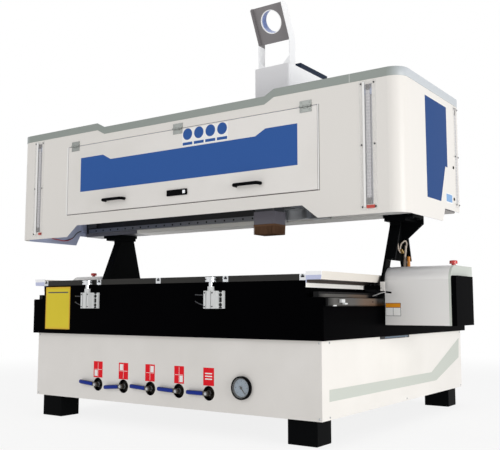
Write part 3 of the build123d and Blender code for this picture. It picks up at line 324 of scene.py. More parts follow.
# Hood trim and spindle tower: one paint, paler round the sides than in front as painted light
paintedLightSides = {"trimEnamel": ("green-grey enamel on sheet, paler sides", "#8C938D", "#BEC3C7", 0.38),
             "towerEnamel": ("white enamel on sheet, whiter sides", "#E2E1E2", "#FFFFFF", 0.36)}
for key, (name, front, side, roughness) in paintedLightSides.items():
    skin = surface(name, front, roughness)
    tree = skin[1]
    keep(key, skin, blend(tree, size(tree, facet(tree, "Normal")[0]), front, side))

# Rails and racks: painted shade at the front ends, along the tops and under the drive cover, and a rusty stretch before
# the drive cover
rail = {"dark": "#131314", "steel": "#6E6C69", "rust": "#837060", "top": 0.706, "front": (-0.955, -0.89),
        "rusty": (0.53, 0.05, 0.16), "coverShadow": (0.36, 0.06, 0.1)}
skin = surface("steel with painted shade at the ends and tops", rail["steel"], 0.36, 0.9)
tree = skin[1]
x, y, z = axes(tree, placeIn(tree))
rusty, coverShadow = [ramp(tree, size(tree, maths(tree, "ADD", y, middle)), inner, outer, 1.0, 0.0)
                  for middle, inner, outer in (rail["rusty"], rail["coverShadow"])]
front = ramp(tree, y, *rail["front"], 1.0, 0.0)
dark = largest(tree, front, over(tree, z, rail["top"]), coverShadow)
colour = blend(tree, rusty, rail["steel"], rail["rust"])
keep("railTone", skin, blend(tree, dark, colour, rail["dark"]))

# Light bars: unlit chips along a grey strip, with dark ends
strip = {"pitch": 0.016, "chipLength": 0.0064, "ends": (1.157, 1.676), "strip": "#C0BEC0", "chip": "#CDCBCB",
         "end": "#7C7977"}
skin = surface("LED strip, grey board with pale chips", strip["strip"], 0.4)
tree = skin[1]
x, y, z = axes(tree, placeIn(tree))
chip = under(tree, maths(tree, "MODULO", z, strip["pitch"]), strip["chipLength"])
end = largest(tree, under(tree, z, strip["ends"][0]), over(tree, z, strip["ends"][1]))
colour = blend(tree, chip, strip["strip"], strip["chip"])
keep("lightStrip", skin, blend(tree, end, colour, strip["end"]))

nodeFinish = {
    "whiteEnamel": "front_panel",
    "sideEnamelPaintedLight": "side_rear_panels",
    "paintedShade": "hood_frame",
    "towerEnamel": "tower_box",
    "blackEnamel": "base_frame bed_body vacuum_port",
    "columnEnamel": "feet column_left column_right",
    "capBlack": "drive_cap_left drive_cap_right",
    "leverSteel": "valve_lever_1 valve_lever_2 valve_lever_3 valve_lever_4 valve_lever_5",
    "bracketEnamel": "hose_bracket",
    "beamEnamel": "beam",
    "lightStrip": "light_bars",
    "hoodPaint": "hood_shell",
    "hoodEnamel": "door_panel",
    "coverEnamel": "rail_cover_left rail_cover_right",
    "trimEnamel": "hood_trim",
    "driveEnamel": "drive_cover_left drive_cover_right",
    "blackPlastic": "e_stop_collars door_handles lock_body gauge_case",
    "lidBlack": "tower_lid",
    "boardPvc": "vacuum_boards",
    "aluminium": "t_slot_rails",
    "railTone": "y_rails y_racks",
    "groundSteelX": "x_rails",
    "darkSteel": "y_blocks",
    "zincSteel": "x_blocks carriage_plate z_slide",
    "hingeSteel": "hood_hinge_leaves door_hinge_leaves",
    "chrome": "locating_pin_left locating_pin_right collet_nut lock_button",
    "castAluminium": "locating_cylinders",
    "clearGlass": "gauge_glass",
    "blackFilm": "gauge_needle",
    "nickel": "valve_bodies",
    "clearAcrylic": "light_covers",
    "darkPaint": "y_motors z_motor spindle_body",
    "stopRed": "e_stop_left e_stop_right",
    "beigeRubber": "column_cables",
    "greyPlastic": "dust_shoe",
    "bristle": "brush_skirt",
}
for finish, names in nodeFinish.items():
    for name in names.split():
        cad = nodes[name]
        cad.data.materials.clear()
        cad.data.materials.append(mats[finish])

# Soft edges on the sheet and cast pieces, so that they catch the light
edgeRounds = {"feet": 4, "bed_body": 4, "side_rear_panels": 1.5, "tower_lid": 3,
              "drive_cap_left": 6, "drive_cap_right": 6, "column_left": 2, "column_right": 2, "locating_cylinders": 1.5,
              "dust_shoe": 3, "lock_body": 2, "lock_button": 1.5, "door_panel": 1.2, "hood_trim": 1.2, "beam": 5,
              "drive_cover_left": 1.2, "drive_cover_right": 1.2, "spindle_body": 2, "tower_box": 1, "gauge_case": 2}
for name, width in edgeRounds.items():
    cad = nodes[name]
    weld = cad.modifiers.new("weld", "WELD")
    weld.merge_threshold = 0.00001
    bevel = cad.modifiers.new("edge", "BEVEL")
    bevel.width = width * mm
    bevel.segments = 2
    bevel.limit_method = "ANGLE"
    bevel.angle_limit = math.radians(40)
print("stage: materials set on the CAD nodes")


def put(name, data):  # a new object in the scene
    thing = bpy.data.objects.new(name, data)
    scene.collection.objects.link(thing)
    return thing


def join(name, mesh, body, finish):  # a finished piece that moves with a body
    piece = put(name, mesh)
    mesh.materials.clear()
    mesh.materials.append(mats[finish])
    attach(piece, body)
    return piece


def facing(side, level):  # turns flat (u, v, lift) in mm into a place on one face of the machine, in metres
    if side == "front":
        return lambda u, v, w: (u * mm, (level - w) * mm, v * mm)
    if side == "right":
        return lambda u, v, w: ((level + w) * mm, u * mm, v * mm)
    if side == "left":
        return lambda u, v, w: ((-level - w) * mm, u * mm, v * mm)
    return lambda u, v, w: (u * mm, v * mm, (level + w) * mm)


def meshFrom(bm, name):
    bmesh.ops.recalc_face_normals(bm, faces=bm.faces)
    mesh = bpy.data.meshes.new(name)
    bm.to_mesh(mesh)
    bm.free()
    return mesh


def prism(outlines, place, low, high):  # a mesh of flat pieces of one thickness
    bm = bmesh.new()
    for outline in outlines:
        rings = [[bm.verts.new(place(u, v, w)) for u, v in outline] for w in (low, high)]
        count = len(outline)
        bm.faces.new(rings[0])
        bm.faces.new(rings[1])
        for i in range(count):
            j = (i + 1) % count
            bm.faces.new((rings[0][i], rings[0][j], rings[1][j], rings[1][i]))
    return meshFrom(bm, "flat piece")


def rectangle(u0, u1, v0, v1):
    return [(u0, v0), (u1, v0), (u1, v1), (u0, v1)]


def circle(u, v, radius, count=32):
    turns = [2 * math.pi * i / count for i in range(count)]
    return [(u + radius * math.cos(a), v + radius * math.sin(a)) for a in turns]


def film(name, outlines, place, body, finish, low=0.05, high=0.45):
    return join(name, prism(outlines, place, low, high), body, finish)


def blockMesh(x, y, z, edge=0.0):  # a block between faces in mm, with rounded edges
    bm = bmesh.new()
    bmesh.ops.create_cube(bm, size=1.0)
    for vert in bm.verts:
        spans = zip(vert.co, (x, y, z))
        vert.co = Vector([(span[0] + span[1]) / 2 + part * (span[1] - span[0]) for part, span in spans]) * mm
    if edge:
        bmesh.ops.bevel(bm, geom=bm.edges[:], offset=edge * mm, segments=2, profile=0.5, affect="EDGES")
    return meshFrom(bm, "block")


def smooth(mesh):
    for face in mesh.polygons:
        face.use_smooth = True


def plainMesh(holder):  # the evaluated shape as a mesh of its own
    bpy.context.view_layer.update()
    graph = bpy.context.evaluated_depsgraph_get()
    mesh = bpy.data.meshes.new_from_object(holder.evaluated_get(graph))
    bpy.data.objects.remove(holder)
    return mesh


def tube(name, points, radius, body, finish):  # a bent round piece through places in mm
    curve = bpy.data.curves.new(name, "CURVE")
    curve.dimensions = "3D"
    curve.bevel_depth = radius * mm
    curve.bevel_resolution = 3
    curve.resolution_u = 8
    curve.use_fill_caps = True
    spline = curve.splines.new("BEZIER")
    spline.bezier_points.add(len(points) - 1)
    for knot, point in zip(spline.bezier_points, points):
        knot.co = [c * mm for c in point]
        knot.handle_left_type = knot.handle_right_type = "AUTO"
    mesh = plainMesh(put(name, curve))
    smooth(mesh)
    return join(name, mesh, body, finish)


def group(name, inputs):  # a geometry tree with named inputs
    tree = bpy.data.node_groups.new(name, "GeometryNodeTree")
    tree.interface.new_socket("Geometry", in_out="INPUT", socket_type="NodeSocketGeometry")
    idents = {}
    for label, kind in inputs.items():
        idents[label] = tree.interface.new_socket(label, in_out="INPUT", socket_type="NodeSocket" + kind).identifier
    tree.interface.new_socket("Geometry", in_out="OUTPUT", socket_type="NodeSocketGeometry")
    return tree, idents, add(tree, "NodeGroupInput").outputs


def scatter(tree, given, points, shape, rotation=None):  # copies on points, made real and given their material
    links = {"Points": points, "Instance": shape}
    if rotation is not None:
        links["Rotation"] = rotation
    copies = add(tree, "GeometryNodeInstanceOnPoints", links)
    real = add(tree, "GeometryNodeRealizeInstances", {"Geometry": copies.outputs["Instances"]})
    painted = add(tree, "GeometryNodeSetMaterial",
                  {"Geometry": real.outputs["Geometry"], "Material": given["Material"]})
    add(tree, "NodeGroupOutput", {"Geometry": painted.outputs["Geometry"]})


def run(name, tree, idents, values, mesh):  # puts the tree on a mesh and returns the plain result
    holder = put(name, mesh)
    modifier = holder.modifiers.new("nodes", "NODES")
    modifier.node_group = tree
    for label, value in values.items():
        modifier[idents[label]] = value
    return plainMesh(holder)


# Turned heads on a list of places: screws, bolts, plugs and holes
headTree, headIdents, given = group("turned heads", {
    "Radius": "Float", "Top radius": "Float", "Height": "Float", "Sides": "Int", "Turn": "Vector",
    "Material": "Material"})
cone = add(headTree, "GeometryNodeMeshCone", {"Vertices": given["Sides"], "Radius Bottom": given["Radius"],
                                              "Radius Top": given["Top radius"], "Depth": given["Height"]})
euler = add(headTree, "FunctionNodeEulerToRotation", {0: given["Turn"]})
scatter(headTree, given, given["Geometry"], cone.outputs["Mesh"], euler.outputs[0])

turnTo = {"front": (math.pi / 2, 0, 0), "rear": (-math.pi / 2, 0, 0), "right": (0, math.pi / 2, 0),
          "left": (0, -math.pi / 2, 0), "top": (0, 0, 0), "under": (math.pi, 0, 0)}


def headsOn(name, side, places, radius, height, body, finish, corners=14, share=0.75):
    mesh = bpy.data.meshes.new(name)
    mesh.from_pydata([tuple(c * mm for c in point) for point in places], [], [])
    values = {"Radius": radius * mm, "Top radius": radius * share * mm, "Height": height * mm, "Sides": corners,
              "Turn": turnTo[side], "Material": mats[finish]}
    return join(name, run(name, headTree, headIdents, values, mesh), body, finish)


def hexNuts(name, side, places, radius, height, body, finish, share=0.95):
    return headsOn(name, side, places, radius, height, body, finish, 6, share)


# the dark spots for bolt holes are painted shade
def holesOn(name, side, places, radius, body, depth=0.4, corners=12):  # dark spots for bolt holes
    return headsOn(name, side, places, radius, depth, body, "shade", corners, 1.0)


# Coloured film on the door, the hood and the base
doorFilm = {"level": -820, "foot": 1355, "middle": 1535, "outer": 1569, "step": 530, "shoulder": 595, "half": 788}
d = doorFilm
doorFront = facing("front", d["level"])
outline = [(-d["half"], d["foot"]), (d["half"], d["foot"]), (d["half"], d["outer"]), (d["shoulder"], d["outer"]),
           (d["step"], d["middle"]), (-d["step"], d["middle"]), (-d["shoulder"], d["outer"]), (-d["half"], d["outer"])]
film("doorFilm", [outline], doorFront, "door", "blueFilm")

signPlate = {"x": (31, 353), "z": (1540, 1640), "discs": 4, "radius": 33, "discZ": 1608, "barZ": (1546, 1562),
             "barShare": 0.43, "lift": (0.45, 0.8)}
film("signPlate", [rectangle(*signPlate["x"], *signPlate["z"])], doorFront, "door", "whiteFilm")
width = (signPlate["x"][1] - signPlate["x"][0]) / signPlate["discs"]
centres = [signPlate["x"][0] + width * (i + 0.5) for i in range(signPlate["discs"])]
reach = signPlate["barShare"] * width
film("signDiscs", [circle(x, signPlate["discZ"], signPlate["radius"]) for x in centres]
     + [rectangle(x - reach, x + reach, *signPlate["barZ"]) for x in centres],
     doorFront, "door", "blueFilm", *signPlate["lift"])

hoodSide = 1356
baseSide = 985
sideFilm = [(-540, 1691), (-245, 1691), (-245, 1370), (-277, 1370), (-350, 1180), (-537, 1180)]
stripe = [(-875, 204), (486, 196), (898, 314), (909, 439), (410, 250), (-874, 259)]
for side in sides:
    # the hood sides carry the door's blue film, darkened as painted shade
    film("hoodFilm_" + side, [sideFilm], facing(side, hoodSide), "gantry", "blueFilmPaintedShade")
    film("baseStripe_" + side, [stripe], facing(side, baseSide), "bed", "stripeFilm")
sideLabel = {"outer": (-277, -182, 1184, 1234), "field": (-273, -187, 1189, 1229), "lift": (0.45, 0.7)}
film("sideLabel", [rectangle(*sideLabel["outer"])], facing("right", hoodSide), "gantry", "whiteFilm")
film("sideLabelField", [rectangle(*sideLabel["field"])], facing("right", hoodSide), "gantry", "paleBlueFilm",
     *sideLabel["lift"])
sidePlug = {"y": -157, "zs": (1382, 1212), "radius": 9, "height": 3}
headsOn("sidePlugs", "right", [(hoodSide, sidePlug["y"], z) for z in sidePlug["zs"]], sidePlug["radius"],
        sidePlug["height"], "gantry", "blackPlastic", 20)
print("stage: films on door, hood and base")

# Plates over the valves: red fields divided in four, one of them white
zonePlate = {"level": -945, "z": (246, 336), "white": [(0, 0), (0, 1), (1, 1), (1, 0), None],
             "x": [(-503, -432), (-305, -234), (-106, -38), (99, 165), (293, 362)], "rim": 5, "line": 1, "outer": 8,
             "inner": 4, "bars": 3, "barSide": 12, "barFoot": 30, "barPitch": 14, "barWidth": 6}
zp = zonePlate
front = facing("front", zp["level"])
low, high = zp["z"]
film("zonePlates", [rectangle(*x, low, high) for x in zp["x"]], front, "bed", "redFilm")
lines = []
fields = []
for (left, right), white in zip(zp["x"], zp["white"]):
    if white is None:
        feet = [low + zp["barFoot"] + zp["barPitch"] * i for i in range(zp["bars"])]
        lines += [rectangle(left + zp["barSide"], right - zp["barSide"], z, z + zp["barWidth"]) for z in feet]
        continue
    u = (left + right) / 2
    v = (low + high) / 2
    lines.append(rectangle(u - zp["line"], u + zp["line"], low + zp["rim"], high - zp["rim"]))
    lines.append(rectangle(left + zp["rim"], right - zp["rim"], v - zp["line"], v + zp["line"]))
    across = (u + zp["inner"], right - zp["outer"]) if white[0] else (left + zp["outer"], u - zp["inner"])
    upward = (v + zp["inner"], high - zp["outer"]) if white[1] else (low + zp["outer"], v - zp["inner"])
    fields.append(rectangle(*across, *upward))
film("zoneLines", lines, front, "bed", "whiteFilm", 0.45, 0.6)
film("zoneFields", fields, front, "bed", "whiteFilm", 0.45, 0.7)

# Yellow plate on the bed with a golden edge, and a plate on the right drive cover
notice = {"level": -970, "x": (-900, -687), "z": (513, 762), "edge": 8, "header": (-879.2, -704.6, 726, 733)}
front = facing("front", notice["level"])
(x0, x1), (z0, z1), edge = notice["x"], notice["z"], notice["edge"]
film("noticePlate", [rectangle(x0, x1, z0, z1)], front, "bed", "goldFilm", 0.05, 0.8)
film("noticeField", [rectangle(x0 + edge, x1 - edge, z0 + edge, z1 - edge)], front, "bed", "yellowFilm", 0.8, 1.0)
film("noticeHeader", [rectangle(*notice["header"])], front, "bed", "darkPaint", 1.0, 1.1)
drivePlate = {"level": -337, "x": (1032, 1118), "z": (597, 665), "split": 641, "edge": 2, "line": 1, "lift": (0.3, 0.5)}
front = facing("front", drivePlate["level"])
(x0, x1), (z0, z1), edge, line = drivePlate["x"], drivePlate["z"], drivePlate["edge"], drivePlate["line"]
middle = (x0 + x1) / 2
split = drivePlate["split"]
film("drivePlate", [rectangle(x0, x1, z0, z1)], front, "gantry", "blackFilm", 0.05, 0.3)
film("drivePlateHead", [rectangle(x0 + edge, x1 - edge, split + line, z1 - edge)], front, "gantry", "orangeFilm",
     *drivePlate["lift"])
film("drivePlateFields", [rectangle(x0 + edge, middle - line, z0 + edge, split - line),
                          rectangle(middle + line, x1 - edge, z0 + edge, split - line)],
     front, "gantry", "whiteFilm", *drivePlate["lift"])
print("stage: plates")

# Valve levers: blue vinyl grips over the steel blades, nuts, and a matt black sheet behind the openings as painted
# shade in the holes
grip = {"first": -468, "pitch": 199, "along": (-135, -24), "width": 22, "thick": 17, "edge": 7.5, "y": -959, "z": 208,
        "turns": (-4.5, 5.0, -3.0, -2.0, 0.0), "nutY": -967, "nut": (9, 8), "bonnetY": -943, "bonnet": (16, 5)}
hubs = [grip["first"] + grip["pitch"] * n for n in range(len(grip["turns"]))]
thick, width = grip["thick"] / 2, grip["width"] / 2
for n, (hub, turn) in enumerate(zip(hubs, grip["turns"]), 1):
    mesh = blockMesh(grip["along"], (-thick, thick), (-width, width), grip["edge"])
    mesh.transform(Matrix.Translation([c * mm for c in (hub, grip["y"], grip["z"])])
                   @ Matrix.Rotation(math.radians(-turn), 4, "Y"))
    smooth(mesh)
    lever = "valve_lever_%d" % n
    join("leverGrip_%d" % n, mesh, lever, "blueVinyl")
    hexNuts("leverNut_%d" % n, "front", [(hub, grip["nutY"], grip["z"])], *grip["nut"], lever, "zincSteel")
bonnets = [(hub, grip["bonnetY"], grip["z"]) for hub in hubs]
hexNuts("valveNuts", "front", bonnets, *grip["bonnet"], "bed", "zincSteel", 0.9)
holeShadeSheet = {"x": (-660, 430), "y": (-870, -868), "z": (125, 300)}
join("valveHoleShade", blockMesh(holeShadeSheet["x"], holeShadeSheet["y"], holeShadeSheet["z"]), "bed", "shade")

# Gauge: grey dial with ticks, and a blade with a hub cap on the needle
dial = {"x": 538, "z": 248, "level": -954, "radius": 43, "ticks": 31, "from": 225, "sweep": 270, "rim": 4, "every": 5,
        "long": (13, 0.9), "short": (8, 0.5)}
blade = {"turn": -50, "tail": -12, "tip": 39, "root": 3.4, "end": 2.0, "level": -957.6, "hub": 7}


def onDial(degrees, places):  # (distance, sideways) places turned round the dial's middle
    c, s = math.cos(math.radians(degrees)), math.sin(math.radians(degrees))
    return [(dial["x"] + r * c - t * s, dial["z"] + r * s + t * c) for r, t in places]


front = facing("front", dial["level"])
film("gaugeDial", [circle(dial["x"], dial["z"], dial["radius"], 48)], front, "bed", "dialGrey", 0.05, 0.3)
ticks = []
for i in range(dial["ticks"]):
    length, half = dial["short"] if i % dial["every"] else dial["long"]
    inner, outer = dial["radius"] - length, dial["radius"] - dial["rim"]
    degrees = dial["from"] - dial["sweep"] * i / (dial["ticks"] - 1)
    ticks.append(onDial(degrees, ((inner, -half), (outer, -half), (outer, half), (inner, half))))
film("gaugeTicks", ticks, front, "bed", "blackFilm", 0.3, 0.45)
tail, tip, root, end = blade["tail"], blade["tip"], blade["root"], blade["end"]
outline = onDial(blade["turn"], ((tail, -root), (tip, -end), (tip, end), (tail, root)))
film("needleBlade", [outline, circle(dial["x"], dial["z"], blade["hub"], 24)], facing("front", blade["level"]),
     "gauge_needle", "shade", 0.02, 0.2)
print("stage: valves and gauge")

# Light strips: a white tray behind each slot, a red end piece, a white film as painted highlight of the slot's lit left
# wall, and screws through the clear covers
lightStrip = {"x": 1180, "half": 25, "wall": 2.8, "z": (1116, 1712), "trayY": (-807, -804), "wallY": (-816.5, -807),
              "level": -824, "redX": {"right": (-13, 31), "left": (13, 43)}, "redZ": (1106, 1121),
              "highlightX": {"right": (-26, -15), "left": (-29, -12)}, "highlightZ": (1112, 1718),
              "screwX": (-34, 34), "screwZ": (1709, 1411, 1113), "screw": (4.5, 2.5), "sideX": (1340.5, 1343.5),
              "sideY": (-122, -94), "sideZ": (1186, 1712), "sideLevel": 1360, "sideScrewY": (-129, -87),
              "sideScrewZ": (1709, 1447, 1186)}
ls = lightStrip
for side, sign in sides.items():
    x = sign * ls["x"]
    tray = blockMesh((x - ls["half"], x + ls["half"]), ls["trayY"], ls["z"])
    join("lightTray_" + side, tray, "gantry", "trayWhite")
    for edge, name in ((x - ls["half"], "A_"), (x + ls["half"] - ls["wall"], "B_")):
        wall = blockMesh((edge, edge + ls["wall"]), ls["wallY"], ls["z"])
        join("lightWall" + name + side, wall, "gantry", "whiteEnamel")
    films = (("lightEnd_", "redX", "redZ", "endRed"), ("lightWallHighlight_", "highlightX", "highlightZ", "whiteFilm"))
    for name, span, z, finish in films:
        left, right = ls[span][side]
        film(name + side, [rectangle(x + left, x + right, *ls[z])], facing("front", ls["level"]), "gantry", finish)
    headsOn("lightScrews_" + side, "front", [(x + s, ls["level"], z) for s in ls["screwX"] for z in ls["screwZ"]],
            *ls["screw"], "gantry", "darkSteel", 12)
    sideTray = blockMesh(sorted(sign * c for c in ls["sideX"]), ls["sideY"], ls["sideZ"])
    join("sideLightTray_" + side, sideTray, "gantry", "trayWhite")
    headsOn("sideLightScrews_" + side, side,
            [(sign * ls["sideLevel"], y, z) for y in ls["sideScrewY"] for z in ls["sideScrewZ"]],
            *ls["screw"], "gantry", "darkSteel", 12)

# Hinges: countersunk screws in both leaves
hingeScrew = {"xs": (-838, 0, 838), "spread": (-24, 24), "level": -823, "size": (5, 1.2), "share": 0.6,
              "leaves": (("hood", "gantry", 1668), ("door", "door", 1629))}
for part, body, z in hingeScrew["leaves"]:
    places = [(x + s, hingeScrew["level"], z) for x in hingeScrew["xs"] for s in hingeScrew["spread"]]
    headsOn("hingeScrews_" + part, "front", places, *hingeScrew["size"], body, "hingeSteel", 14, hingeScrew["share"])

# Thin lines: the joint of the trim, painted highlights on the bright edges round the door, and the dark door gap
hairline = (0.02, 0.15)
trimJoint = {"level": -822, "at": (1084.2, 1085.8, 1729, 1771)}
film("trimJoints", [rectangle(*trimJoint["at"])], facing("front", trimJoint["level"]), "gantry", "whiteFilm", *hairline)
doorRimHighlightAndGap = {"bright": ((-915, -906, 1221, 1650), (905, 911, 1221, 1650)),
           "dark": ((911.5, 914.5, 1216, 1650), (-902, 914.5, 1215, 1218.5))}
film("doorEdgeHighlight", [rectangle(*spot) for spot in doorRimHighlightAndGap["bright"]], doorFront, "gantry", "whiteFilm", *hairline)
film("doorGap", [rectangle(*spot) for spot in doorRimHighlightAndGap["dark"]], doorFront, "gantry", "brownShade", *hairline)

# Base panels: screws along the edges, a grip at the top of each side, and the rear port's bolts
panelScrew = {"z": (132, 476), "sideY": (-870, 30, 925), "frontX": (-972, 972), "rearX": (-960, -480, 0, 480, 960),
              "end": 945, "size": (5, 2.4)}
panelSpots = {side: [(sign * baseSide, y) for y in panelScrew["sideY"]] for side, sign in sides.items()}
panelSpots["front"] = [(x, -panelScrew["end"]) for x in panelScrew["frontX"]]
panelSpots["rear"] = [(x, panelScrew["end"]) for x in panelScrew["rearX"]]
for side, spots in panelSpots.items():
    headsOn("panelScrews_" + side, side, [(x, y, z) for x, y in spots for z in panelScrew["z"]], *panelScrew["size"],
            "bed", "zincSteel", 12)
sideGrip = {"plate": (-312, 78, 472, 486), "lip": (-250, 60, 476, 484)}
for side in sides:
    place = facing(side, baseSide)
    film("sideGrip_" + side, [rectangle(*sideGrip["plate"])], place, "bed", "darkSteel", 0.05, 1.2)
    film("sideGripLip_" + side, [rectangle(*sideGrip["lip"])], place, "bed", "slateSteel", 1.2, 1.6)
portBolt = {"count": 6, "across": 65, "up": 66, "y": 957, "z": 300, "size": (6, 5)}
pb = portBolt
turns = [2 * math.pi * i / pb["count"] for i in range(pb["count"])]
places = [(pb["across"] * math.cos(a), pb["y"], pb["z"] + pb["up"] * math.sin(a)) for a in turns]
hexNuts("portBolts", "rear", places, *pb["size"], "bed", "zincSteel", 0.98)

# Guide rails and racks: bolt holes at an even pitch
railHole = {"radius": 6, "beamPitch": 71, "beamCount": 35, "beamY": -280, "beamZ": (1180, 1493), "pitch": 60,
            "count": 31, "railX": 964, "railTop": 716, "rackX": 1027, "rackZ": 670, "rackRadius": 4.5, "rackFrom": 7}


def evenRow(count, pitch):
    return [(i - (count - 1) / 2) * pitch for i in range(count)]


rh = railHole
places = [(x, rh["beamY"], z) for x in evenRow(rh["beamCount"], rh["beamPitch"]) for z in rh["beamZ"]]
holesOn("beamRailHoles", "front", places, rh["radius"], "gantry")
ys = evenRow(rh["count"], rh["pitch"])
for side, sign in sides.items():
    holesOn("bedRailHoles_" + side, "top", [(sign * rh["railX"], y, rh["railTop"]) for y in ys], rh["radius"], "bed")
    holesOn("rackHoles_" + side, side, [(sign * rh["rackX"], y, rh["rackZ"]) for y in ys[rh["rackFrom"]:]],
            rh["rackRadius"], "bed")

# Rack teeth along the lower edge, an even row of small blocks
rackTooth = {"pitch": 6.28, "count": 304, "size": (16.6, 3.1, 4.5), "x": 1018.5, "top": 653}
toothTree, toothIdents, given = group("rack teeth", {
    "Count": "Int", "Pitch": "Float", "Size": "Vector", "Start": "Vector", "Material": "Material"})
step = add(toothTree, "ShaderNodeCombineXYZ", {"Y": given["Pitch"]})
row = add(toothTree, "GeometryNodeMeshLine", {"Count": given["Count"], "Start Location": given["Start"],
                                              "Offset": step.outputs["Vector"]}, mode="OFFSET")
tooth = add(toothTree, "GeometryNodeMeshCube", {"Size": given["Size"]})
scatter(toothTree, given, row.outputs["Mesh"], tooth.outputs["Mesh"])
rt = rackTooth
for side, sign in sides.items():
    start = (sign * rt["x"], -rt["pitch"] * (rt["count"] - 1) / 2, rt["top"] - rt["size"][2] / 2)
    values = {"Count": rt["count"], "Pitch": rt["pitch"] * mm, "Size": tuple(c * mm for c in rt["size"]),
              "Start": tuple(c * mm for c in start), "Material": mats["railTone"]}
    mesh = run("rackTeeth_" + side, toothTree, toothIdents, values, bpy.data.meshes.new("rack"))
    join("rackTeeth_" + side, mesh, "bed", "railTone")
print("stage: light strips, screws, rails and racks")

# Locating cylinders: air fittings, thin black hoses that run into the bed, screws, and slots in the ear plate
airFitting = {"xs": {"left": -510.05, "right": 381.78}, "reach": 30, "y": -1001, "nut": (7, 12), "hose": 3,
              "rows": ((652, 20), (704, 2)), "route": ((10, -1001, 0), (42, -1000, 0.4), (74, -995, 1), (92, -968, 1))}
cylinderFace = {"screwX": (-24, 24), "screwY": -1023, "screwZ": (646, 715), "screw": (4, 2), "ear": 48, "earY": -984,
                "discs": (705, 655), "disc": 10, "slot": (-8, 8, 668, 692),
                "notches": ((11, 725, 7, 717), (11, 637, 7, 645))}
af, cf = airFitting, cylinderFace
for side, x in af["xs"].items():
    left = x - af["reach"]
    hexNuts("fittings_" + side, "left", [(left, af["y"], z) for z, rise in af["rows"]], *af["nut"], "bed", "zincSteel")
    for n, (z, rise) in enumerate(af["rows"], 1):
        points = [(left - out, y, z + share * rise) for out, y, share in af["route"]]
        tube("airHose_%s_%d" % (side, n), points, af["hose"], "bed", "blackRubber")
    headsOn("cylinderScrews_" + side, "front", [(x + dx, cf["screwY"], z) for dx in cf["screwX"] for z in cf["screwZ"]],
            *cf["screw"], "bed", "darkSteel", 12)
    ear = x + cf["ear"]
    u0, u1, v0, v1 = cf["slot"]
    slots = [circle(ear, z, cf["disc"], 16) for z in cf["discs"]] + [rectangle(ear + u0, ear + u1, v0, v1)]
    slots += [[(ear - wide, outer), (ear + wide, outer), (ear + narrow, inner), (ear - narrow, inner)]
              for wide, outer, narrow, inner in cf["notches"]]
    # the slots and notches are painted shade, drawn as a dark film
    film("cylinderSlots_" + side, slots, facing("front", cf["earY"]), "bed", "shade", 0.02, 0.2)

# Columns: bolts through the foot and the cap
columnBolt = {"footX": (952, 984), "footY": (-347, -277, -90, -20), "footTop": 757, "footSize": (8, 8),
              "capX": (1136, 1150), "capY": (-225, -124), "capUnder": 1125, "capSize": (6, 6)}
cb = columnBolt
for side, sign in sides.items():
    headsOn("footBolts_" + side, "top", [(sign * x, y, cb["footTop"]) for x in cb["footX"] for y in cb["footY"]],
            *cb["footSize"], "gantry", "darkSteel", 16, 0.96)
    headsOn("seatBolts_" + side, "under", [(sign * x, y, cb["capUnder"]) for x in cb["capX"] for y in cb["capY"]],
            *cb["capSize"], "gantry", "darkSteel", 16, 0.96)

# Hoses in the right column: a looped one with brass fittings, a thicker one into the drive cover and an orange end
columnHose = {"x": 1052, "endX": 1078, "endY": -123, "end": 9, "endZ": (857, 919), "nut": (8, 15),
              "fittings": ((-166, 943), (-180, 950)),
              "Hose": (4.5, ((-208, 1107), (-208, 1044), (-208, 1000), (-203, 966), (-183, 945), (-152, 941))),
              "Loop": (4.5, ((-180, 950), (-168, 980), (-134, 1001), (-97, 1007), (-85, 992), (-97, 974))),
              "Drop": (7, ((-97, 982), (-104, 952), (-112, 920), (-117, 857)))}
ch = columnHose
for name in ("Hose", "Loop", "Drop"):
    radius, route = ch[name]
    hose = tube("column" + name, [(ch["x"], y, z) for y, z in route], radius, "gantry", "beigeRubber")
    if name == "Hose":
        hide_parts("column_cables")
tube("columnHoseEnd", [(ch["endX"], ch["endY"], z) for z in ch["endZ"]], ch["end"], "gantry", "orangeRubber")
hexNuts("columnFittings", "right", [(ch["x"], y, z) for y, z in ch["fittings"]], *ch["nut"], "gantry", "brass")

# Right side: a switch and a clip on the rack; under each column's foot a sensor and its thin cable
rackParts = {"rackSwitch": ((1027.5, 1042), (-846, -811), (664, 681), 2),
             "rackSwitchFoot": ((1027.5, 1042), (-816, -786), (656, 664), 2),
             "rackClip": ((1027.5, 1033), (-911, -880), (648, 654), 1)}
for name, spans in rackParts.items():
    join(name, blockMesh(*spans), "bed", "castAluminium")
sensor = {"radius": 5, "body": ((1054, -376, 721.5), (1068, -374, 720), (1082, -372, 718.5)), "cable": 2.5,
          "cableY": -378, "route": ((1058, 721), (1038, 719), (1019, 714.5), (996, 706), (976, 701))}
for side, sign in sides.items():
    tube("sensor_" + side, [(sign * x, y, z) for x, y, z in sensor["body"]], sensor["radius"], "gantry", "blackPlastic")
    points = [(sign * x, sensor["cableY"], z) for x, z in sensor["route"]]
    tube("sensorCable_" + side, points, sensor["cable"], "gantry", "whiteRubber")

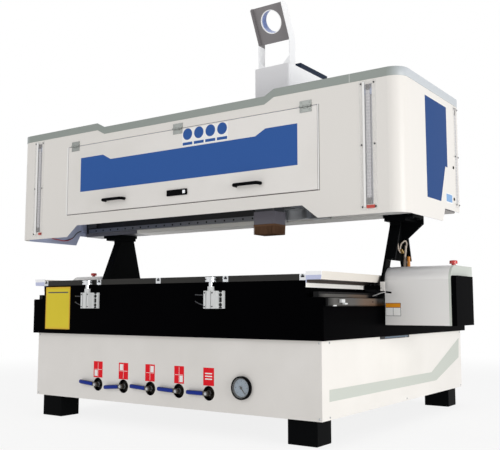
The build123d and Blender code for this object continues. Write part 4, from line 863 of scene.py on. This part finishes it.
# A tab at the drive cover's inner edge, a bumper at the beam's left end, and wires inside the hood's left wall
tab = {"x": (1021, 1048), "y": (-376, -372), "z": (727, 776), "edge": 1.5, "hole": (1026, -376, 743), "radius": 3}
join("driveTab", blockMesh(tab["x"], tab["y"], tab["z"], tab["edge"]), "gantry", "whiteEnamel")
holesOn("driveTabHole", "front", [tab["hole"]], tab["radius"], "gantry", 0.3)
bumper = {"x": (-1305, -1226), "y": (-268, -250), "z": (1205, 1245), "edge": 4}
join("beamBumper", blockMesh(bumper["x"], bumper["y"], bumper["z"], bumper["edge"]), "gantry", "darkPaint")
wires = {"x": -1347, "radius": 3,
         "red": ((-640, 1150), (-567, 1118), (-500, 1108), (-421, 1108), (-372, 1128)),
         "black": ((-440, 1106), (-369, 1131), (-325, 1171), (-253, 1195), (-160, 1204))}
for colour in ("red", "black"):
    points = [(wires["x"], y, z) for y, z in wires[colour]]
    tube("hoodWire_" + colour, points, wires["radius"], "gantry", colour + "Rubber")

# Brush skirt: bristles hanging from a strip round the dust shoe
skirt = {"x": (404.5, 539.5), "y": (-650.5, -539.5), "top": 1090, "foot": 1036, "strip": 10, "wall": 13, "seed": 7,
         "density": 420000.0, "root": 0.9, "tip": 0.6, "lean": 0.03, "corners": 5, "spin": 6.28}
(x0, x1), (y0, y1), wall = skirt["x"], skirt["y"], skirt["wall"]
stripFoot = skirt["top"] - skirt["strip"]
stripOutlines = [rectangle(x0, x1, y0, y0 + wall), rectangle(x0, x1, y1 - wall, y1),
                 rectangle(x0, x0 + wall, y0 + wall, y1 - wall), rectangle(x1 - wall, x1, y0 + wall, y1 - wall)]
film("brushStrip", stripOutlines, facing("top", stripFoot), "z_slide", "bristle", 0.0, skirt["strip"])
roots = bpy.data.meshes.new("brush roots")
corners = [(u * mm, v * mm, stripFoot * mm) for outline in stripOutlines for u, v in outline]
roots.from_pydata(corners, [], [(4 * i, 4 * i + 1, 4 * i + 2, 4 * i + 3) for i in range(4)])
hairTree, hairIdents, given = group("bristles", {
    "Length": "Float", "Root radius": "Float", "Tip radius": "Float", "Density": "Float", "Lean": "Float",
    "Seed": "Int", "Material": "Material"})
spots = add(hairTree, "GeometryNodeDistributePointsOnFaces",
            {"Mesh": given["Geometry"], "Density": given["Density"], "Seed": given["Seed"]})
hair = add(hairTree, "GeometryNodeMeshCone", {"Radius Bottom": given["Root radius"], "Radius Top": given["Tip radius"],
                                              "Depth": given["Length"]}, {"Vertices": skirt["corners"]})
back = maths(hairTree, "MULTIPLY", given["Lean"], -1.0)
low = add(hairTree, "ShaderNodeCombineXYZ", {"X": back, "Y": back})
high = add(hairTree, "ShaderNodeCombineXYZ", {"X": given["Lean"], "Y": given["Lean"]}, {"Z": skirt["spin"]})
lean = add(hairTree, "FunctionNodeRandomValue",
           {0: low.outputs["Vector"], 1: high.outputs["Vector"], "Seed": given["Seed"]}, data_type="FLOAT_VECTOR")
flip = vectorMaths(hairTree, "ADD", "Vector", lean.outputs[0], (math.pi, 0, 0))
turn = add(hairTree, "FunctionNodeEulerToRotation", {0: flip})
scatter(hairTree, given, spots.outputs["Points"], hair.outputs["Mesh"], turn.outputs[0])
values = {"Length": (stripFoot - skirt["foot"]) * mm, "Root radius": skirt["root"] * mm,
          "Tip radius": skirt["tip"] * mm, "Density": skirt["density"], "Lean": skirt["lean"],
          "Seed": skirt["seed"], "Material": mats["bristle"]}
mesh = run("brushHair", hairTree, hairIdents, values, roots)
brushHair = join("brushHair", mesh, "z_slide", "bristle")
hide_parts("brush_skirt")
print("stage: cylinders, hoses, sensors and brush")

# Floor, light and camera
studio = {"floorSize": 40.0, "fadeFrom": 2.6, "fadeTo": 6.0, "floor": "#F4F3F1", "glow": 0.85, "air": "#F4F6FA",
          "ambient": 0.36}
floorMesh = bpy.data.meshes.new("floor")
half = studio["floorSize"] / 2
floorMesh.from_pydata([(-half, -half, 0), (half, -half, 0), (half, half, 0), (-half, half, 0)], [], [(0, 1, 2, 3)])
floor = put("floor", floorMesh)
material, tree, shader = surface("pale matt floor", studio["floor"], 0.9)
far = vectorMaths(tree, "LENGTH", "Value", placeIn(tree))
values = {"From Min": studio["fadeFrom"], "From Max": studio["fadeTo"], "To Min": studio["glow"]}
fade = add(tree, "ShaderNodeMapRange", {"Value": far}, values, interpolation_type="SMOOTHSTEP")
glow = add(tree, "ShaderNodeEmission", None, {"Color": (1, 1, 1, 1), "Strength": 1.0})
mixed = add(tree, "ShaderNodeMixShader",
            {0: fade.outputs["Result"], 1: shader.outputs["BSDF"], 2: glow.outputs["Emission"]})
tree.links.new(mixed.outputs["Shader"], tree.nodes["Material Output"].inputs["Surface"])
floorMesh.materials.append(material)

world = bpy.data.worlds.new("studio") if not bpy.data.worlds else bpy.data.worlds[0]
scene.world = world
world.use_nodes = True
tree = world.node_tree
tree.nodes.clear()
ambient = add(tree, "ShaderNodeBackground", None, {"Color": linear(studio["air"]), "Strength": studio["ambient"]})
white = add(tree, "ShaderNodeBackground", None, {"Color": (1, 1, 1, 1), "Strength": 1.0})
path = add(tree, "ShaderNodeLightPath")
seen = largest(tree, *[path.outputs["Is %s Ray" % kind] for kind in ("Camera", "Glossy", "Transmission")])
choose = add(tree, "ShaderNodeMixShader", {0: seen, 1: ambient.outputs[0], 2: white.outputs[0]})
add(tree, "ShaderNodeOutputWorld", {"Surface": choose.outputs["Shader"]})

lamps = {
    "keyRight": {"at": (6.5, -2.0, 1.1), "to": (0.9, 0.0, 0.7), "size": 3.0, "power": 208},
    "frontFill": {"at": (-1.6, -5.5, 3.2), "to": (0.0, 0.0, 0.9), "size": 3.5, "power": 52},
    "topSoft": {"at": (0.0, 0.6, 5.2), "to": (0.0, 0.0, 0.8), "size": 4.0, "power": 50},
}
for name, lamp in lamps.items():
    light = bpy.data.lights.new(name, "AREA")
    light.energy = lamp["power"]
    light.size = lamp["size"]
    holder = put(name, light)
    holder.location = lamp["at"]
    holder.rotation_euler = (Vector(lamp["to"]) - Vector(lamp["at"])).to_track_quat("-Z", "Y").to_euler()

shot = {"at": (2.6992, -4.0027, 0.6469), "turn": 34.68, "tilt": 6.22, "lens": 53.786, "sensor": 36.0, "far": 100.0}
camera = bpy.data.cameras.new("camera")
camera.lens = shot["lens"]
camera.sensor_width = shot["sensor"]
camera.sensor_fit = "HORIZONTAL"
camera.clip_end = shot["far"]
view = put("camera", camera)
view.location = shot["at"]
view.rotation_euler = (math.radians(90 + shot["tilt"]), 0, math.radians(shot["turn"]))
scene.camera = view
scene.view_settings.view_transform = "Standard"
print("stage: floor, light and camera set")
